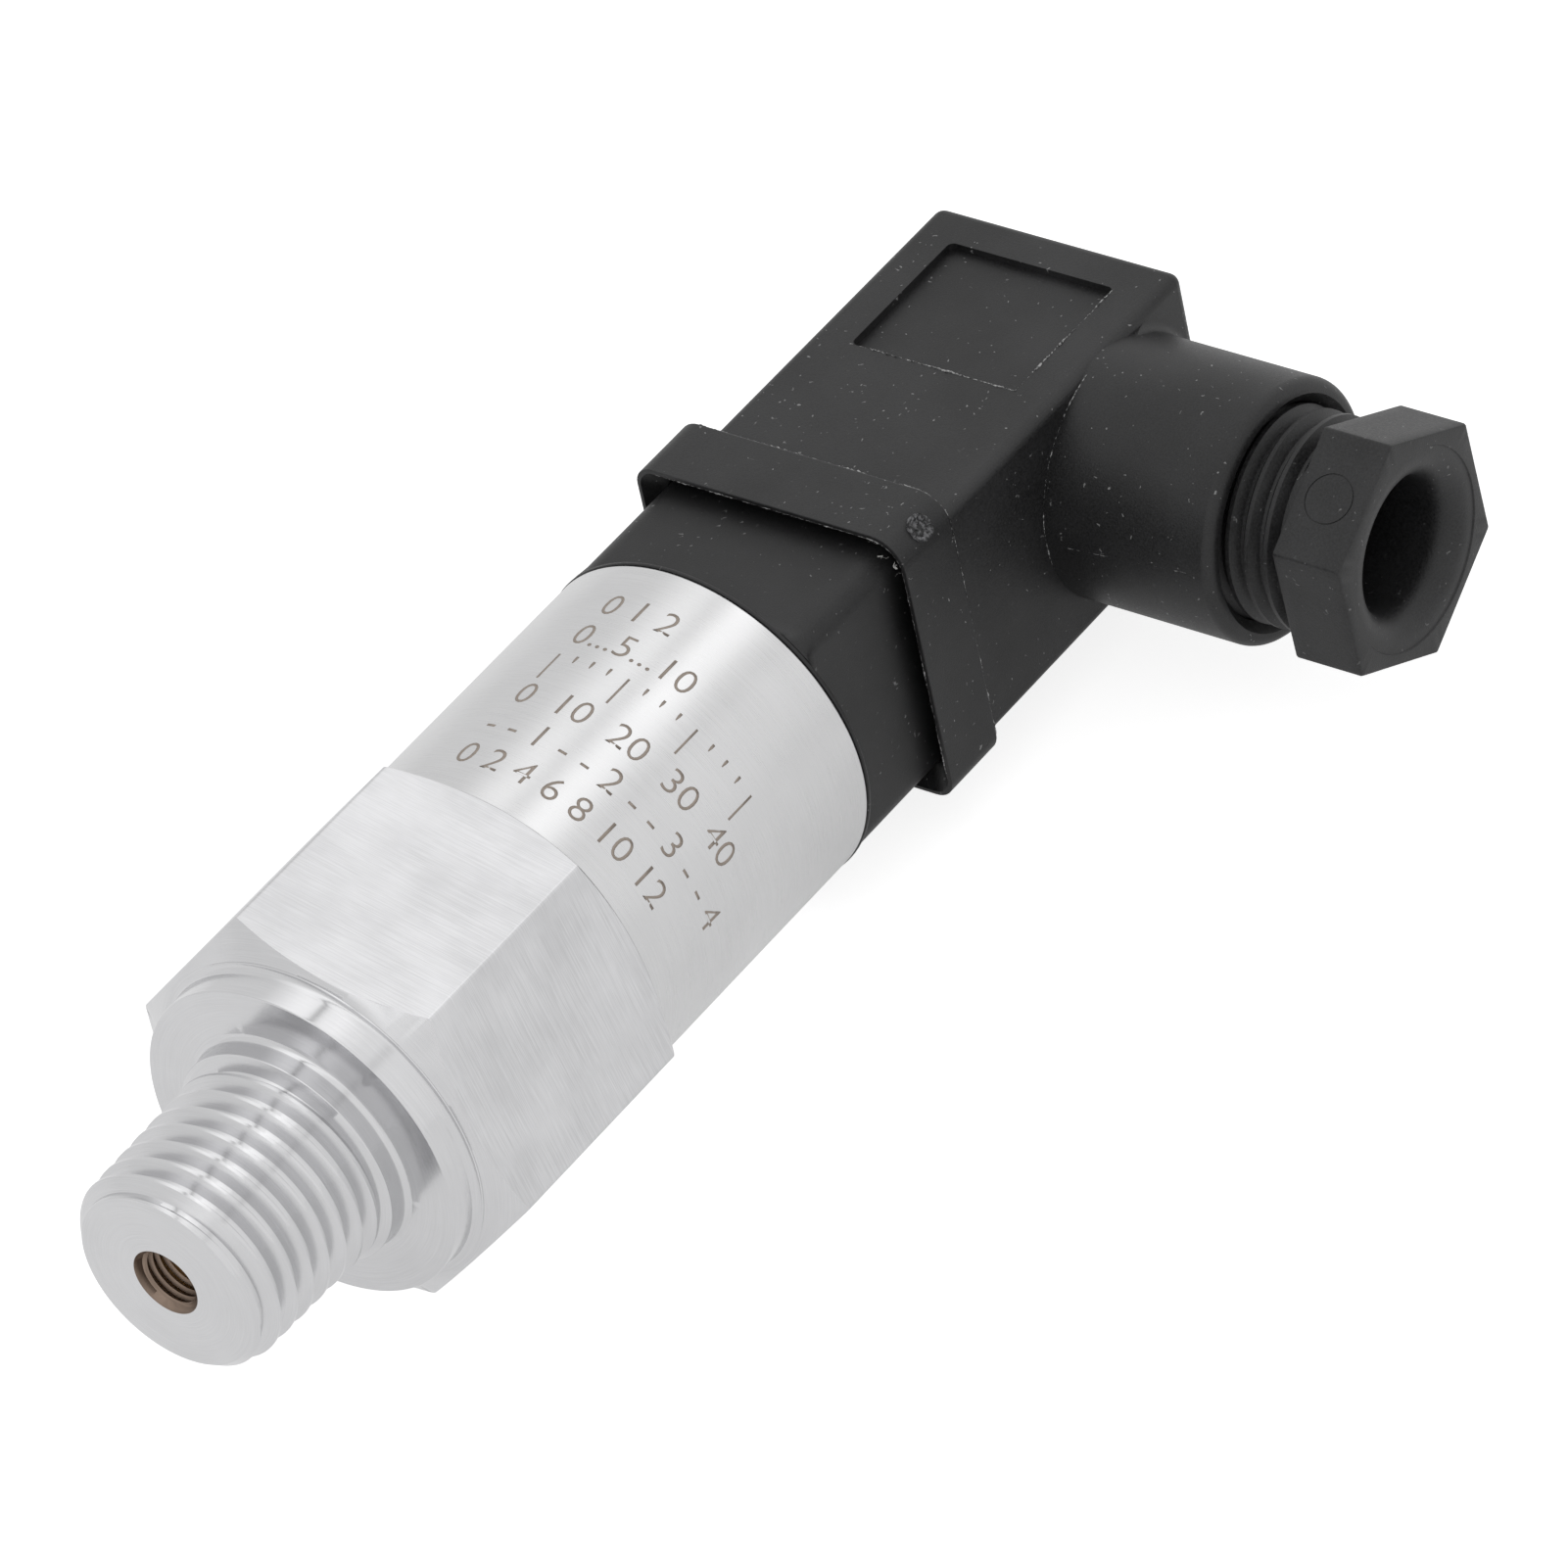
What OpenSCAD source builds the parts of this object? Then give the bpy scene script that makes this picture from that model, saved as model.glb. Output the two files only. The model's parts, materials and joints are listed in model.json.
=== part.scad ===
// Pressure transmitter with a threaded stud, a hexagon body and a square right-angle plug.
// The stud's axis is Z and the stud points down. The cable leaves along +X.
// The origin lies on that axis, in the thread's gauge plane: a port's mouth reaches it by hand.

/* [Stud and collar] */
// Outside diameter of the stud's thread
stud_d = 13.1; // [11:0.1:15]
// Length of the stud from its tip to the neck
stud_len = 10.6; // [8:0.1:16]
// Pitch of the stud's thread
stud_pitch = 1.41; // [1:0.01:2]
// Depth of the stud's thread
stud_thread_h = 0.7; // [0.4:0.05:0.9]
// Length from the tip to the gauge plane, where a hand-tight port ends
gauge_len = 5.8; // [4:0.1:7]
// Size of the chamfer round the stud's tip
tip_chamfer = 1; // [0.3:0.1:1.5]
// Diameter of the plain neck between thread and collar
neck_d = 13.9; // [13.2:0.1:16]
// Length of the plain neck
neck_len = 1.45; // [0.8:0.05:3]
// Radius between the neck and the sealing face
neck_fillet = 0.4; // [0.1:0.05:0.7]
// Diameter of the collar that carries the sealing face
collar_d = 20.2; // [18:0.1:21]
// Thickness of the collar
collar_len = 1.9; // [1:0.1:4]
// Chamfer round the sealing face
collar_edge = 0.12; // [0.05:0.01:0.4]
// Width of the groove turned between collar and hexagon
groove_w = 0.3; // [0.1:0.05:0.6]
// Depth of that groove
groove_depth = 0.35; // [0.1:0.05:0.8]

/* [Pressure port] */
// Bore of the port, the core of its inner thread
port_d = 3.4; // [3:0.1:5]
// Depth of the port's wide part
port_depth = 9; // [7:0.1:12]
// Size of the chamfer at the port's mouth
port_chamfer = 0.4; // [0.1:0.1:1]
// Diameter of the duct from the port to the cell
duct_d = 2; // [1:0.1:3]
// Distance from the stud's tip to the throttle screw
throttle_depth = 2.6; // [1.5:0.1:4]
// Length of the throttle screw
throttle_len = 4; // [3:0.1:5]
// Diameter of the hole through the throttle screw
throttle_hole_d = 0.8; // [0.4:0.1:1.2]
// Width of the driver slot in the throttle screw
throttle_slot_w = 0.9; // [0.5:0.1:1.2]
// Depth of that slot
throttle_slot_depth = 1.1; // [0.5:0.1:2]
// Turn of that slot about the stud's axis, away from the cable side
throttle_turn = 30; // [0:1:179]

/* [Hexagon] */
// Width across the flats
hex_af = 22; // [21.8:0.1:24]
// Length of the hexagon
hex_len = 15.8; // [15.4:0.1:22]
// Turn of the corners about the axis, away from the cable side
hex_turn = 13; // [0:1:59]
// Angle of the turned chamfers at both ends
hex_chamfer_angle = 30; // [15:1:40]
// Diameter where the front chamfer begins
hex_front_d = 21.2; // [21:0.1:21.6]

/* [Housing sleeve] */
// Outside diameter of the sleeve
sleeve_d = 21.6; // [21.2:0.1:21.8]
// Wall of the sleeve
sleeve_wall = 0.8; // [0.5:0.05:1]
// Length of the sleeve
sleeve_len = 20; // [19:0.1:30]
// Length of the fitting's spigot inside the sleeve
spigot_len = 2.5; // [1.5:0.1:4]

/* [Pressure cell] */
// Diameter of the ceramic cell
cell_d = 18; // [14:0.1:18.2]
// Thickness of the ceramic cell
cell_h = 6.3; // [4:0.1:6.5]
// Diameter of the cell's ring of sealing rubber
cell_seal_d = 15.6; // [10:0.1:16]
// Section of that ring
cell_seal_t = 1.8; // [1:0.1:2.4]
// Depth of the groove that the ring lies in
cell_seal_groove = 1.5; // [1:0.1:1.7]
// Height of the threaded ring that holds the cell
retainer_h = 3; // [2:0.1:4]
// Bore of that ring
retainer_hole_d = 12; // [8:0.1:14]

/* [Electronics] */
// Height of the plastic ring that carries the board
holder_h = 3.6; // [3:0.1:6]
// Width of the ledge inside that ring
holder_ledge = 1; // [0.6:0.1:2]
// Thickness of the circuit board
board_t = 1.2; // [0.8:0.1:1.6]
// Diameter of the wires between cell, board and pins
lead_d = 0.6; // [0.3:0.1:1]

/* [Plug base] */
// Thickness of the disc on the sleeve's rim
disc_t = 0.45; // [0.2:0.05:1]
// Diameter of that disc
disc_d = 21.7; // [21:0.1:22.4]
// Side of the square pedestal
pedestal_w = 16; // [15:0.1:16.4]
// Corner radius of the pedestal
pedestal_r = 1.4; // [1:0.1:3]
// Height of the pedestal above the disc
pedestal_h = 10.1; // [9:0.1:14]
// Thickness of the base's closed floor inside the sleeve
base_floor = 5; // [4:0.1:7]
// Section of the sealing ring round the base
base_seal_t = 1.4; // [1:0.1:2]
// Depth of the groove that this ring lies in
base_groove = 1.1; // [0.8:0.1:1.3]

// Thickness of the flat gasket on the pedestal
gasket_t = 1.2; // [0.8:0.1:1.8]
// Width of the gasket's frame
gasket_w = 1.85; // [1.2:0.05:2]

/* [Contact pins] */
// Distance of each pin's middle from the chamber's wall
pin_room = 2.15; // [1.85:0.05:2.75]
// Width of the signal pins
pin_w = 2.8; // [2:0.1:3]
// Width of the earth pin
earth_w = 3.4; // [3:0.1:3.8]
// Thickness of all pins
pin_t = 0.8; // [0.5:0.1:0.9]
// Height of the pins above the pedestal
pin_h = 8; // [5:0.1:9]
// Length of the pins' tails under the base's floor
pin_tail = 1.5; // [0.5:0.1:3]

/* [Plug housing] */
// Side of the square skirt
skirt_w = 18.3; // [17.2:0.1:19]
// Corner radius of the skirt
skirt_r = 1.3; // [0.8:0.1:2.5]
// Height of the skirt
skirt_h = 4.6; // [4:0.1:6]
// Depth of the skirt's opening
skirt_depth = 3.2; // [2:0.1:3.4]
// Height of the bevel inside the skirt's mouth
skirt_bevel_h = 1.2; // [0.4:0.1:1.6]
// Width of the skirt's lower rim
skirt_rim = 0.25; // [0.15:0.05:0.6]
// Width of the tower across the cable direction
tower_w = 15.7; // [15:0.1:16.5]
// How far the tower's cable side reaches past its half width
tower_shift = 1.1; // [0:0.1:1.4]
// Height of the tower above the skirt
tower_h = 23.4; // [22.6:0.1:28]
// Radius of the tower's edges
tower_r = 0.7; // [0.3:0.1:1]
// Side of the square chamber inside the tower
chamber_w = 12.3; // [11.8:0.1:12.6]
// Wall above the chamber
roof_t = 4; // [3.2:0.1:5]
// Width of the sunk panel on the tower's front
panel_w = 11.3; // [8:0.1:12]
// Height of the sunk panel
panel_h = 10; // [8:0.1:11]
// Depth of the sunk panel
panel_depth = 0.35; // [0.2:0.05:0.6]
// Corner radius of the sunk panel
panel_r = 0.4; // [0.2:0.05:1]
// How far the sunk panel lies below the tower's top
panel_drop = 2.8; // [2:0.1:6]

/* [Cable outlet] */
// Height of the outlet's axis above the skirt's lower rim
outlet_height = 19.8; // [19:0.1:20]
// Outside diameter of the outlet's boss
boss_d = 15.5; // [14.6:0.1:15.6]
// Distance of the boss's end from the stud's axis
boss_reach = 20.2; // [19:0.1:24]
// Radius round the boss's end
boss_edge = 0.7; // [0.3:0.1:1]
// Radius of the fillet between tower and boss
boss_fillet = 1; // [0.5:0.1:1.4]
// Bore of the boss, the core of its inner thread
boss_bore_d = 12.6; // [12.56:0.02:12.7]
// Chamfer in the mouth of the boss
boss_mouth = 0.6; // [0.2:0.1:0.8]
// Diameter of the cable's way into the chamber
passage_d = 8; // [6:0.1:8.4]

/* [Gland] */
// Outside diameter of the gland nut's thread
gland_d = 12.5; // [12.4:0.01:12.54]
// Pitch of that thread
gland_pitch = 1.27; // [1:0.01:1.5]
// Length of the nut's threaded shank
gland_shank = 7.6; // [7:0.1:8.4]
// Length of the shank that stands out of the boss
gland_out = 3.9; // [2.6:0.1:4.4]
// Width of the nut across its flats
gland_af = 13.3; // [12.6:0.1:14]
// Length of the nut's hexagon
gland_hex_len = 4.45; // [3:0.05:7]
// Chamfer on the corners at the nut's outer end
gland_chamfer = 0.3; // [0.1:0.05:0.6]
// Turn of the nut's corners about the cable
gland_turn = 33; // [0:1:59]
// Bore of the nut
gland_bore_d = 7.9; // [6:0.1:8.4]
// Radius of the nut's flared mouth
gland_flare = 1.6; // [0.5:0.1:1.8]
// Thickness of the pressure ring
ring_t = 0.8; // [0.5:0.1:1.2]
// Length of the rubber grommet
grommet_len = 3.2; // [2.4:0.1:4]
// Free travel of the pressure ring before it meets the grommet
grommet_room = 2; // [1.92:0.02:3]
// Hole through the grommet
grommet_hole_d = 5.5; // [4:0.1:6.5]

/* [Terminal insert] */
// Height of the terminal insert
insert_h = 9.8; // [8.8:0.1:10.8]
// Wall of each spring contact
clip_wall = 0.5; // [0.4:0.05:0.6]
// Height of a contact's screw block above the insert
block_h = 2.3; // [1.8:0.1:2.8]
// Diameter of the terminal screws
terminal_d = 1.6; // [1.2:0.1:1.8]
// Head diameter of the terminal screws
terminal_head_d = 2.8; // [2.2:0.1:2.9]

/* [Centre screw] */
// Diameter of the centre screw
screw_d = 3; // [2.5:0.1:3.4]
// Length of the centre screw under its head
screw_len = 28; // [26:0.1:29.5]
// Head diameter
screw_head_d = 5.5; // [4.8:0.1:5.8]
// Head height
screw_head_h = 2; // [1.2:0.1:2.2]
// Diameter of the threaded bush in the pedestal
bush_d = 4.6; // [4.2:0.1:5]
// Length of that bush
bush_len = 6; // [4:0.1:8]
// Thickness of the sealing washer under the head
washer_t = 0.6; // [0.4:0.1:1]

/* [Clearances] */
// Gap between pieces that are pressed or glued together
press_gap = 0.02; // [0.01:0.01:0.05]
// Gap round pieces that slide into place
fit_gap = 0.1; // [0.05:0.01:0.14]
// Radial gap of a screw in its thread
thread_gap = 0.05; // [0.02:0.01:0.1]
// Gap round the centre screw where it passes freely
free_gap = 0.2; // [0.15:0.05:0.4]

/* [Hidden] */
$fn = 64;
// Overrun of every cut past the face that it opens
over = 0.5;
// Facets of rounded blocks
block_fn = 24;

// Heights along the stud's axis
tip_z = -gauge_len;
neck_z = tip_z + stud_len;
collar_z = neck_z + neck_len;
hex_z = collar_z + collar_len;
sleeve_foot_z = hex_z + hex_len;
spigot_z = sleeve_foot_z + spigot_len;
sleeve_z = sleeve_foot_z + sleeve_len;
disc_z = sleeve_z + disc_t;
pedestal_z = disc_z + pedestal_h;
seat_z = pedestal_z + gasket_t;
skirt_z = seat_z - skirt_depth;
tower_z = skirt_z + skirt_h;
top_z = tower_z + tower_h;
outlet_z = skirt_z + outlet_height;
chamber_z = top_z - roof_t;

// Flats on the crests and in the roots of the stud's thread, as shares of its pitch
crest_share = 0.14;
root_share = 0.2;
stud_turns = floor((stud_len - tip_chamfer) / stud_pitch + 0.5);

// Sizes of the fitting's inside
spigot_d = sleeve_d - 2 * sleeve_wall - 2 * press_gap;
pocket_d = cell_d + 2 * fit_gap;
cell_z = spigot_z - retainer_h - cell_h;
pocket_z = cell_z - press_gap;

// Sizes of the electronics' carrier
holder_z = spigot_z + press_gap;
board_z = holder_z + holder_h - board_t;
board_d = sleeve_d - 2 * sleeve_wall - 2 * holder_ledge;
barrel_z = holder_z + holder_h + press_gap;
barrel_d = sleeve_d - 2 * sleeve_wall - 2 * fit_gap;
floor_z = sleeve_z - base_floor;
base_groove_w = base_seal_t + 2 * fit_gap;

// Sizes of the plug
gasket_hole_w = pedestal_w - 2 * gasket_w;
skirt_bore_w = pedestal_w + 2 * fit_gap;
head_seat_z = top_z - screw_head_h - washer_t - fit_gap;
head_bore_d = screw_head_d + 2 * free_gap;
screw_top_z = head_seat_z + washer_t;
screw_tip_z = screw_top_z - screw_len;
insert_w = chamber_w - 2 * fit_gap;
pin_place = chamber_w / 2 - pin_room;
insert_z = seat_z + fit_gap;
insert_top = insert_z + insert_h;
clip_t = pin_t + 2 * thread_gap + 2 * clip_wall;
block_t = clip_t + clip_wall;
clip_z = insert_z + clip_wall;
block_z = insert_top - block_h;
block_w = terminal_d + 2 * clip_wall;

// Sizes of the gland
nut_z_tail = boss_reach + gland_out - gland_shank;
nut_hex_x = boss_reach + gland_out;
nut_end_x = nut_hex_x + gland_hex_len;
boss_floor_x = nut_z_tail - ring_t - grommet_room - grommet_len;

// Quarter turns of the four contacts about the centre screw, the last one for earth
PIN_TURNS = [90, 180, 270, 0];

// A square with round corners, centred, all its walls true planes and cylinders
module round_square(size_x, size_y, r) {
    square([size_x - 2 * r, size_y], center = true);
    square([size_x, size_y - 2 * r], center = true);
    for (sx = [-1, 1], sy = [-1, 1])
        translate([sx * (size_x / 2 - r), sy * (size_y / 2 - r)]) circle(r);
}

// An upright prism of that outline
module round_prism(size_x, size_y, r, h) {
    linear_extrude(h) round_square(size_x, size_y, r);
}

// A tube of one wall
module tube(d_out, d_in, h) {
    difference() {
        cylinder(d = d_out, h = h);
        translate([0, 0, -over]) cylinder(d = d_in, h = h + 2 * over);
    }
}

// Turns an upright piece so that its axis is the cable's
module along_cable() {
    translate([0, 0, outlet_z]) rotate([0, 90, 0]) children();
}

// One groove between two turns of the stud's thread, in section
module thread_groove() {
    mouth = stud_pitch * (1 - crest_share);
    root = stud_pitch * root_share;
    polygon([
        [stud_d / 2 - stud_thread_h, -root / 2],
        [stud_d / 2, -mouth / 2],
        [stud_d / 2 + over, -mouth / 2],
        [stud_d / 2 + over, mouth / 2],
        [stud_d / 2, mouth / 2],
        [stud_d / 2 - stud_thread_h, root / 2]
    ]);
}

// The stud, neck and collar as one turned profile, up to the hexagon
module turned_front() {
    rotate_extrude() union() {
        difference() {
            polygon([
                [0, tip_z],
                [stud_d / 2 - tip_chamfer, tip_z],
                [stud_d / 2, tip_z + tip_chamfer],
                [stud_d / 2, neck_z],
                [neck_d / 2, neck_z],
                [neck_d / 2, collar_z],
                [collar_d / 2 - collar_edge, collar_z],
                [collar_d / 2, collar_z + collar_edge],
                [collar_d / 2, hex_z - groove_w],
                [collar_d / 2 - groove_depth, hex_z - groove_w],
                [collar_d / 2 - groove_depth, hex_z + groove_w],
                [0, hex_z + groove_w]
            ]);
            // The thread as plain rings, one groove for each turn
            for (turn = [1 : stud_turns])
                translate([0, neck_z - (turn - 0.5) * stud_pitch]) thread_groove();
        }
        // The fillet where the neck meets the sealing face
        difference() {
            translate([neck_d / 2 - neck_fillet, collar_z - neck_fillet])
                square([2 * neck_fillet, 2 * neck_fillet]);
            translate([neck_d / 2 + neck_fillet, collar_z - neck_fillet]) circle(neck_fillet);
        }
    }
}

// The hexagon, chamfered at both ends by a turning tool
module chamfered_hex(af, h, front_d, rear_d, angle) {
    corner = af / 2 / cos(30);
    intersection() {
        cylinder(r = corner, h = h, $fn = 6);
        union() {
            front_h = (corner - front_d / 2) * tan(angle);
            rear_h = (corner - rear_d / 2) * tan(angle);
            cylinder(r1 = front_d / 2, r2 = corner, h = front_h);
            translate([0, 0, front_h]) cylinder(r = corner, h = h - front_h - rear_h);
            translate([0, 0, h - rear_h]) cylinder(r1 = corner, r2 = rear_d / 2, h = rear_h);
        }
    }
}

module process_fitting() {
    color([0.80, 0.80, 0.81]) difference() {
        union() {
            turned_front();
            translate([0, 0, hex_z]) rotate([0, 0, hex_turn])
                chamfered_hex(hex_af, hex_len, hex_front_d, sleeve_d, hex_chamfer_angle);
            translate([0, 0, hex_z]) cylinder(d = spigot_d, h = spigot_z - hex_z);
        }
        // The pressure port with its chamfered mouth and the duct to the cell
        translate([0, 0, tip_z - over]) cylinder(d = port_d, h = port_depth + over);
        translate([0, 0, tip_z])
            cylinder(d1 = port_d + 2 * port_chamfer, d2 = port_d, h = port_chamfer);
        translate([0, 0, tip_z]) cylinder(d = duct_d, h = pocket_z + over - tip_z);
        // The pocket of the cell and the groove of its seal
        translate([0, 0, pocket_z]) cylinder(d = pocket_d, h = spigot_z - pocket_z + over);
        translate([0, 0, pocket_z - cell_seal_groove]) difference() {
            cylinder(d = cell_seal_d + cell_seal_t + 2 * fit_gap, h = cell_seal_groove + over);
            translate([0, 0, -over])
                cylinder(d = cell_seal_d - cell_seal_t - 2 * fit_gap, h = cell_seal_groove + 3 * over);
        }
    }
}

// The slotted brass screw that damps pressure shocks in the port
module throttle_screw() {
    color([0.72, 0.53, 0.22]) translate([0, 0, tip_z + throttle_depth])
        rotate([0, 0, throttle_turn]) difference() {
            cylinder(d = port_d - 2 * press_gap, h = throttle_len);
            translate([0, 0, -over]) cylinder(d = throttle_hole_d, h = throttle_len + 2 * over);
            translate([0, 0, (throttle_slot_depth - over) / 2])
                cube([port_d + over, throttle_slot_w, throttle_slot_depth + over], center = true);
        }
}

// A rubber ring that its groove squeezes to an oblong section
module squeezed_ring(d, section, height) {
    rotate_extrude() translate([d / 2, 0]) {
        square([section - height, height], center = true);
        for (side = [-1, 1]) translate([side * (section - height) / 2, 0]) circle(d = height);
    }
}

module cell_seal() {
    seal_h = cell_seal_groove - press_gap;
    color([0.12, 0.12, 0.12])
        translate([0, 0, pocket_z - cell_seal_groove + press_gap + seal_h / 2])
        squeezed_ring(cell_seal_d, cell_seal_t, seal_h - press_gap);
}

// The ceramic cell with the shallow well over its sensing membrane
module sensor_cell() {
    well_d = cell_d / 3;
    well_h = cell_h / 8;
    color([0.88, 0.87, 0.84]) translate([0, 0, cell_z]) difference() {
        cylinder(d = cell_d, h = cell_h - press_gap);
        translate([0, 0, cell_h - well_h]) cylinder(d = well_d, h = well_h + over);
    }
}

// The threaded ring with four key slots that clamps the cell
module cell_retainer() {
    slot_w = retainer_h / 2;
    color([0.70, 0.70, 0.72]) translate([0, 0, spigot_z - retainer_h]) difference() {
        tube(pocket_d - 2 * thread_gap, retainer_hole_d, retainer_h - press_gap);
        for (turn = [45, 135]) rotate([0, 0, turn])
            translate([0, 0, retainer_h])
            cube([pocket_d + over, slot_w, slot_w], center = true);
    }
}

module housing_sleeve() {
    color([0.83, 0.83, 0.84]) translate([0, 0, sleeve_foot_z])
        tube(sleeve_d, sleeve_d - 2 * sleeve_wall, sleeve_len);
}

// The plastic ring that stands on the spigot and carries the board on its ledge
module board_holder() {
    holder_d = barrel_d;
    color([0.20, 0.22, 0.25]) translate([0, 0, holder_z]) difference() {
        tube(holder_d, board_d - 2 * holder_ledge, holder_h);
        translate([0, 0, holder_h - board_t - press_gap])
            cylinder(d = board_d + 2 * fit_gap, h = board_t + over);
    }
}

module circuit_board() {
    color([0.10, 0.35, 0.20]) translate([0, 0, board_z]) difference() {
        cylinder(d = board_d, h = board_t - press_gap);
        for (turn = PIN_TURNS) {
            // Plated holes of the wires to the pins and to the cell
            rotate([0, 0, turn]) translate([pin_place, 0, -over])
                cylinder(d = lead_d + 2 * press_gap, h = board_t + 2 * over);
            rotate([0, 0, turn + 45]) translate([pin_place / 2, 0, -over])
                cylinder(d = lead_d + 2 * press_gap, h = board_t + 2 * over);
        }
    }
}

// The amplifier's case with its two rows of legs
module amplifier_chip() {
    chip_w = board_d / 4;
    chip_h = chip_w / 4;
    leg_w = chip_w / 14;
    color([0.10, 0.10, 0.11]) rotate([0, 0, 45]) translate([0, -board_d / 3, board_z + board_t]) {
        translate([0, 0, chip_h / 2 + leg_w]) cube([chip_w, chip_w * 0.7, chip_h], center = true);
        for (step = [-1.5:1:1.5])
            translate([step * chip_w / 4, 0, leg_w])
            cube([leg_w, chip_w, 2 * leg_w], center = true);
    }
}

module filter_capacitors() {
    can_d = board_d / 6;
    can_h = can_d;
    color([0.55, 0.56, 0.60]) for (side = [-1, 1])
        translate([side * can_d, board_d / 3, board_z + board_t]) cylinder(d = can_d, h = can_h);
}

// The four wires that rise from the cell to the board
module cell_leads() {
    color([0.80, 0.70, 0.30]) for (turn = PIN_TURNS)
        rotate([0, 0, turn + 45]) translate([pin_place / 2, 0, cell_z + cell_h - cell_h / 8])
        cylinder(d = lead_d, h = board_z + board_t - cell_z - cell_h + cell_h / 8 - press_gap);
}

// The four wires that rise from the board to the pins' tails
module pin_leads() {
    tail_z = floor_z - pin_tail;
    color([0.80, 0.55, 0.30]) for (turn = PIN_TURNS)
        rotate([0, 0, turn]) translate([pin_place, 0, board_z])
        cylinder(d = lead_d, h = tail_z - board_z - press_gap);
}

// The moulded base: a hollow barrel in the sleeve, a disc on its rim and the square pedestal
module plug_base() {
    wall = (sleeve_d - board_d) / 2 - sleeve_wall;
    color([0.13, 0.13, 0.135]) difference() {
        union() {
            translate([0, 0, barrel_z]) cylinder(d = barrel_d, h = sleeve_z - barrel_z + press_gap);
            translate([0, 0, sleeve_z + press_gap])
                cylinder(d = disc_d, h = disc_t - press_gap);
            translate([0, 0, sleeve_z]) round_prism(pedestal_w, pedestal_w, pedestal_r, disc_t + pedestal_h);
        }
        translate([0, 0, barrel_z - over])
            cylinder(d = barrel_d - 2 * wall, h = floor_z - barrel_z + over);
        // The groove of the sealing ring
        translate([0, 0, sleeve_z - base_floor / 2 - base_groove_w / 2])
            tube(barrel_d + over, barrel_d - 2 * base_groove, base_groove_w);
        // The seat of the threaded bush, with room for the screw's end
        translate([0, 0, pedestal_z - bush_len]) cylinder(d = bush_d, h = bush_len + over);
        translate([0, 0, screw_tip_z - fit_gap])
            cylinder(d = screw_d + 2 * thread_gap, h = pedestal_z - screw_tip_z);
        for (pin = [0:3]) pin_shape(pin, press_gap);
    }
}

module base_seal() {
    depth = base_groove + fit_gap;
    color([0.12, 0.12, 0.12]) translate([0, 0, sleeve_z - base_floor / 2])
        squeezed_ring_upright(barrel_d - 2 * base_groove + depth, base_seal_t, depth - 2 * press_gap);
}

// A rubber ring squeezed from its sides, so that its section stands upright
module squeezed_ring_upright(d, section, width) {
    rotate_extrude() translate([d / 2, 0]) {
        square([width, section - width], center = true);
        for (side = [-1, 1]) translate([0, side * (section - width) / 2]) circle(d = width);
    }
}

// The knurled brass bush that takes the centre screw
module threaded_bush() {
    color([0.75, 0.58, 0.25]) translate([0, 0, pedestal_z - bush_len + press_gap])
        tube(bush_d - 2 * press_gap, screw_d + 2 * thread_gap, bush_len - press_gap);
}

// One flat pin from its tail under the base's floor to its tapered tip
module pin_shape(index, grow) {
    width = index == 3 ? earth_w : pin_w;
    low = floor_z - pin_tail;
    high = pedestal_z + pin_h;
    taper = pin_t;
    rotate([0, 0, PIN_TURNS[index]]) translate([pin_place + pin_t / 2 + grow, 0, 0])
        rotate([0, -90, 0]) linear_extrude(pin_t + 2 * grow) polygon([
            [low - grow, -width / 2 - grow],
            [high - taper, -width / 2 - grow],
            [high, -width / 2 + taper - grow],
            [high, width / 2 - taper + grow],
            [high - taper, width / 2 + grow],
            [low - grow, width / 2 + grow]
        ]);
}

module contact_pin(index) {
    color([0.78, 0.76, 0.70]) pin_shape(index, 0);
}

// The flat frame of rubber between pedestal and plug
module plug_gasket() {
    color([0.16, 0.16, 0.17]) translate([0, 0, pedestal_z + press_gap]) difference() {
        round_prism(pedestal_w, pedestal_w, pedestal_r, gasket_t - 2 * press_gap);
        translate([0, 0, -over])
            round_prism(gasket_hole_w, gasket_hole_w, pedestal_r / 2, gasket_t + 2 * over);
    }
}

// A block with all its edges round, standing on z = 0 and centred in the plane
module soft_block(size_x, size_y, h, r) {
    hull() for (sx = [-1, 1], sy = [-1, 1], sz = [0, 1])
        translate([sx * (size_x / 2 - r), sy * (size_y / 2 - r), r + sz * (h - 2 * r)])
        sphere(r, $fn = block_fn);
}

// The tower with the sunk panel on its front
module tower() {
    panel_x = tower_shift / 2;
    difference() {
        translate([tower_shift / 2, 0, tower_z - 2 * tower_r])
            soft_block(tower_w + tower_shift, tower_w, tower_h + 2 * tower_r, tower_r);
        translate([panel_x, -tower_w / 2 + panel_depth, top_z - panel_drop - panel_h / 2])
            rotate([90, 0, 0]) round_prism(panel_w, panel_h, panel_r, panel_depth + over);
    }
}

// The outlet's boss with its round end and the fillet that joins it to the tower
module boss() {
    tower_x = tower_w / 2 + tower_shift;
    room_up = top_z - tower_r - outlet_z;
    along_cable() {
        rotate_extrude() union() {
            square([boss_d / 2 - boss_edge, boss_reach]);
            square([boss_d / 2, boss_reach - boss_edge]);
            translate([boss_d / 2 - boss_edge, boss_reach - boss_edge]) circle(boss_edge);
        }
        intersection() {
            rotate_extrude() difference() {
                translate([0, tower_x - over]) square([boss_d / 2 + boss_fillet, boss_fillet + over]);
                translate([boss_d / 2 + boss_fillet, tower_x + boss_fillet]) circle(boss_fillet);
            }
            translate([-room_up, -tower_w / 2 + tower_r, 0])
                cube([room_up + boss_d, tower_w - 2 * tower_r, boss_reach]);
        }
    }
}

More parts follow.
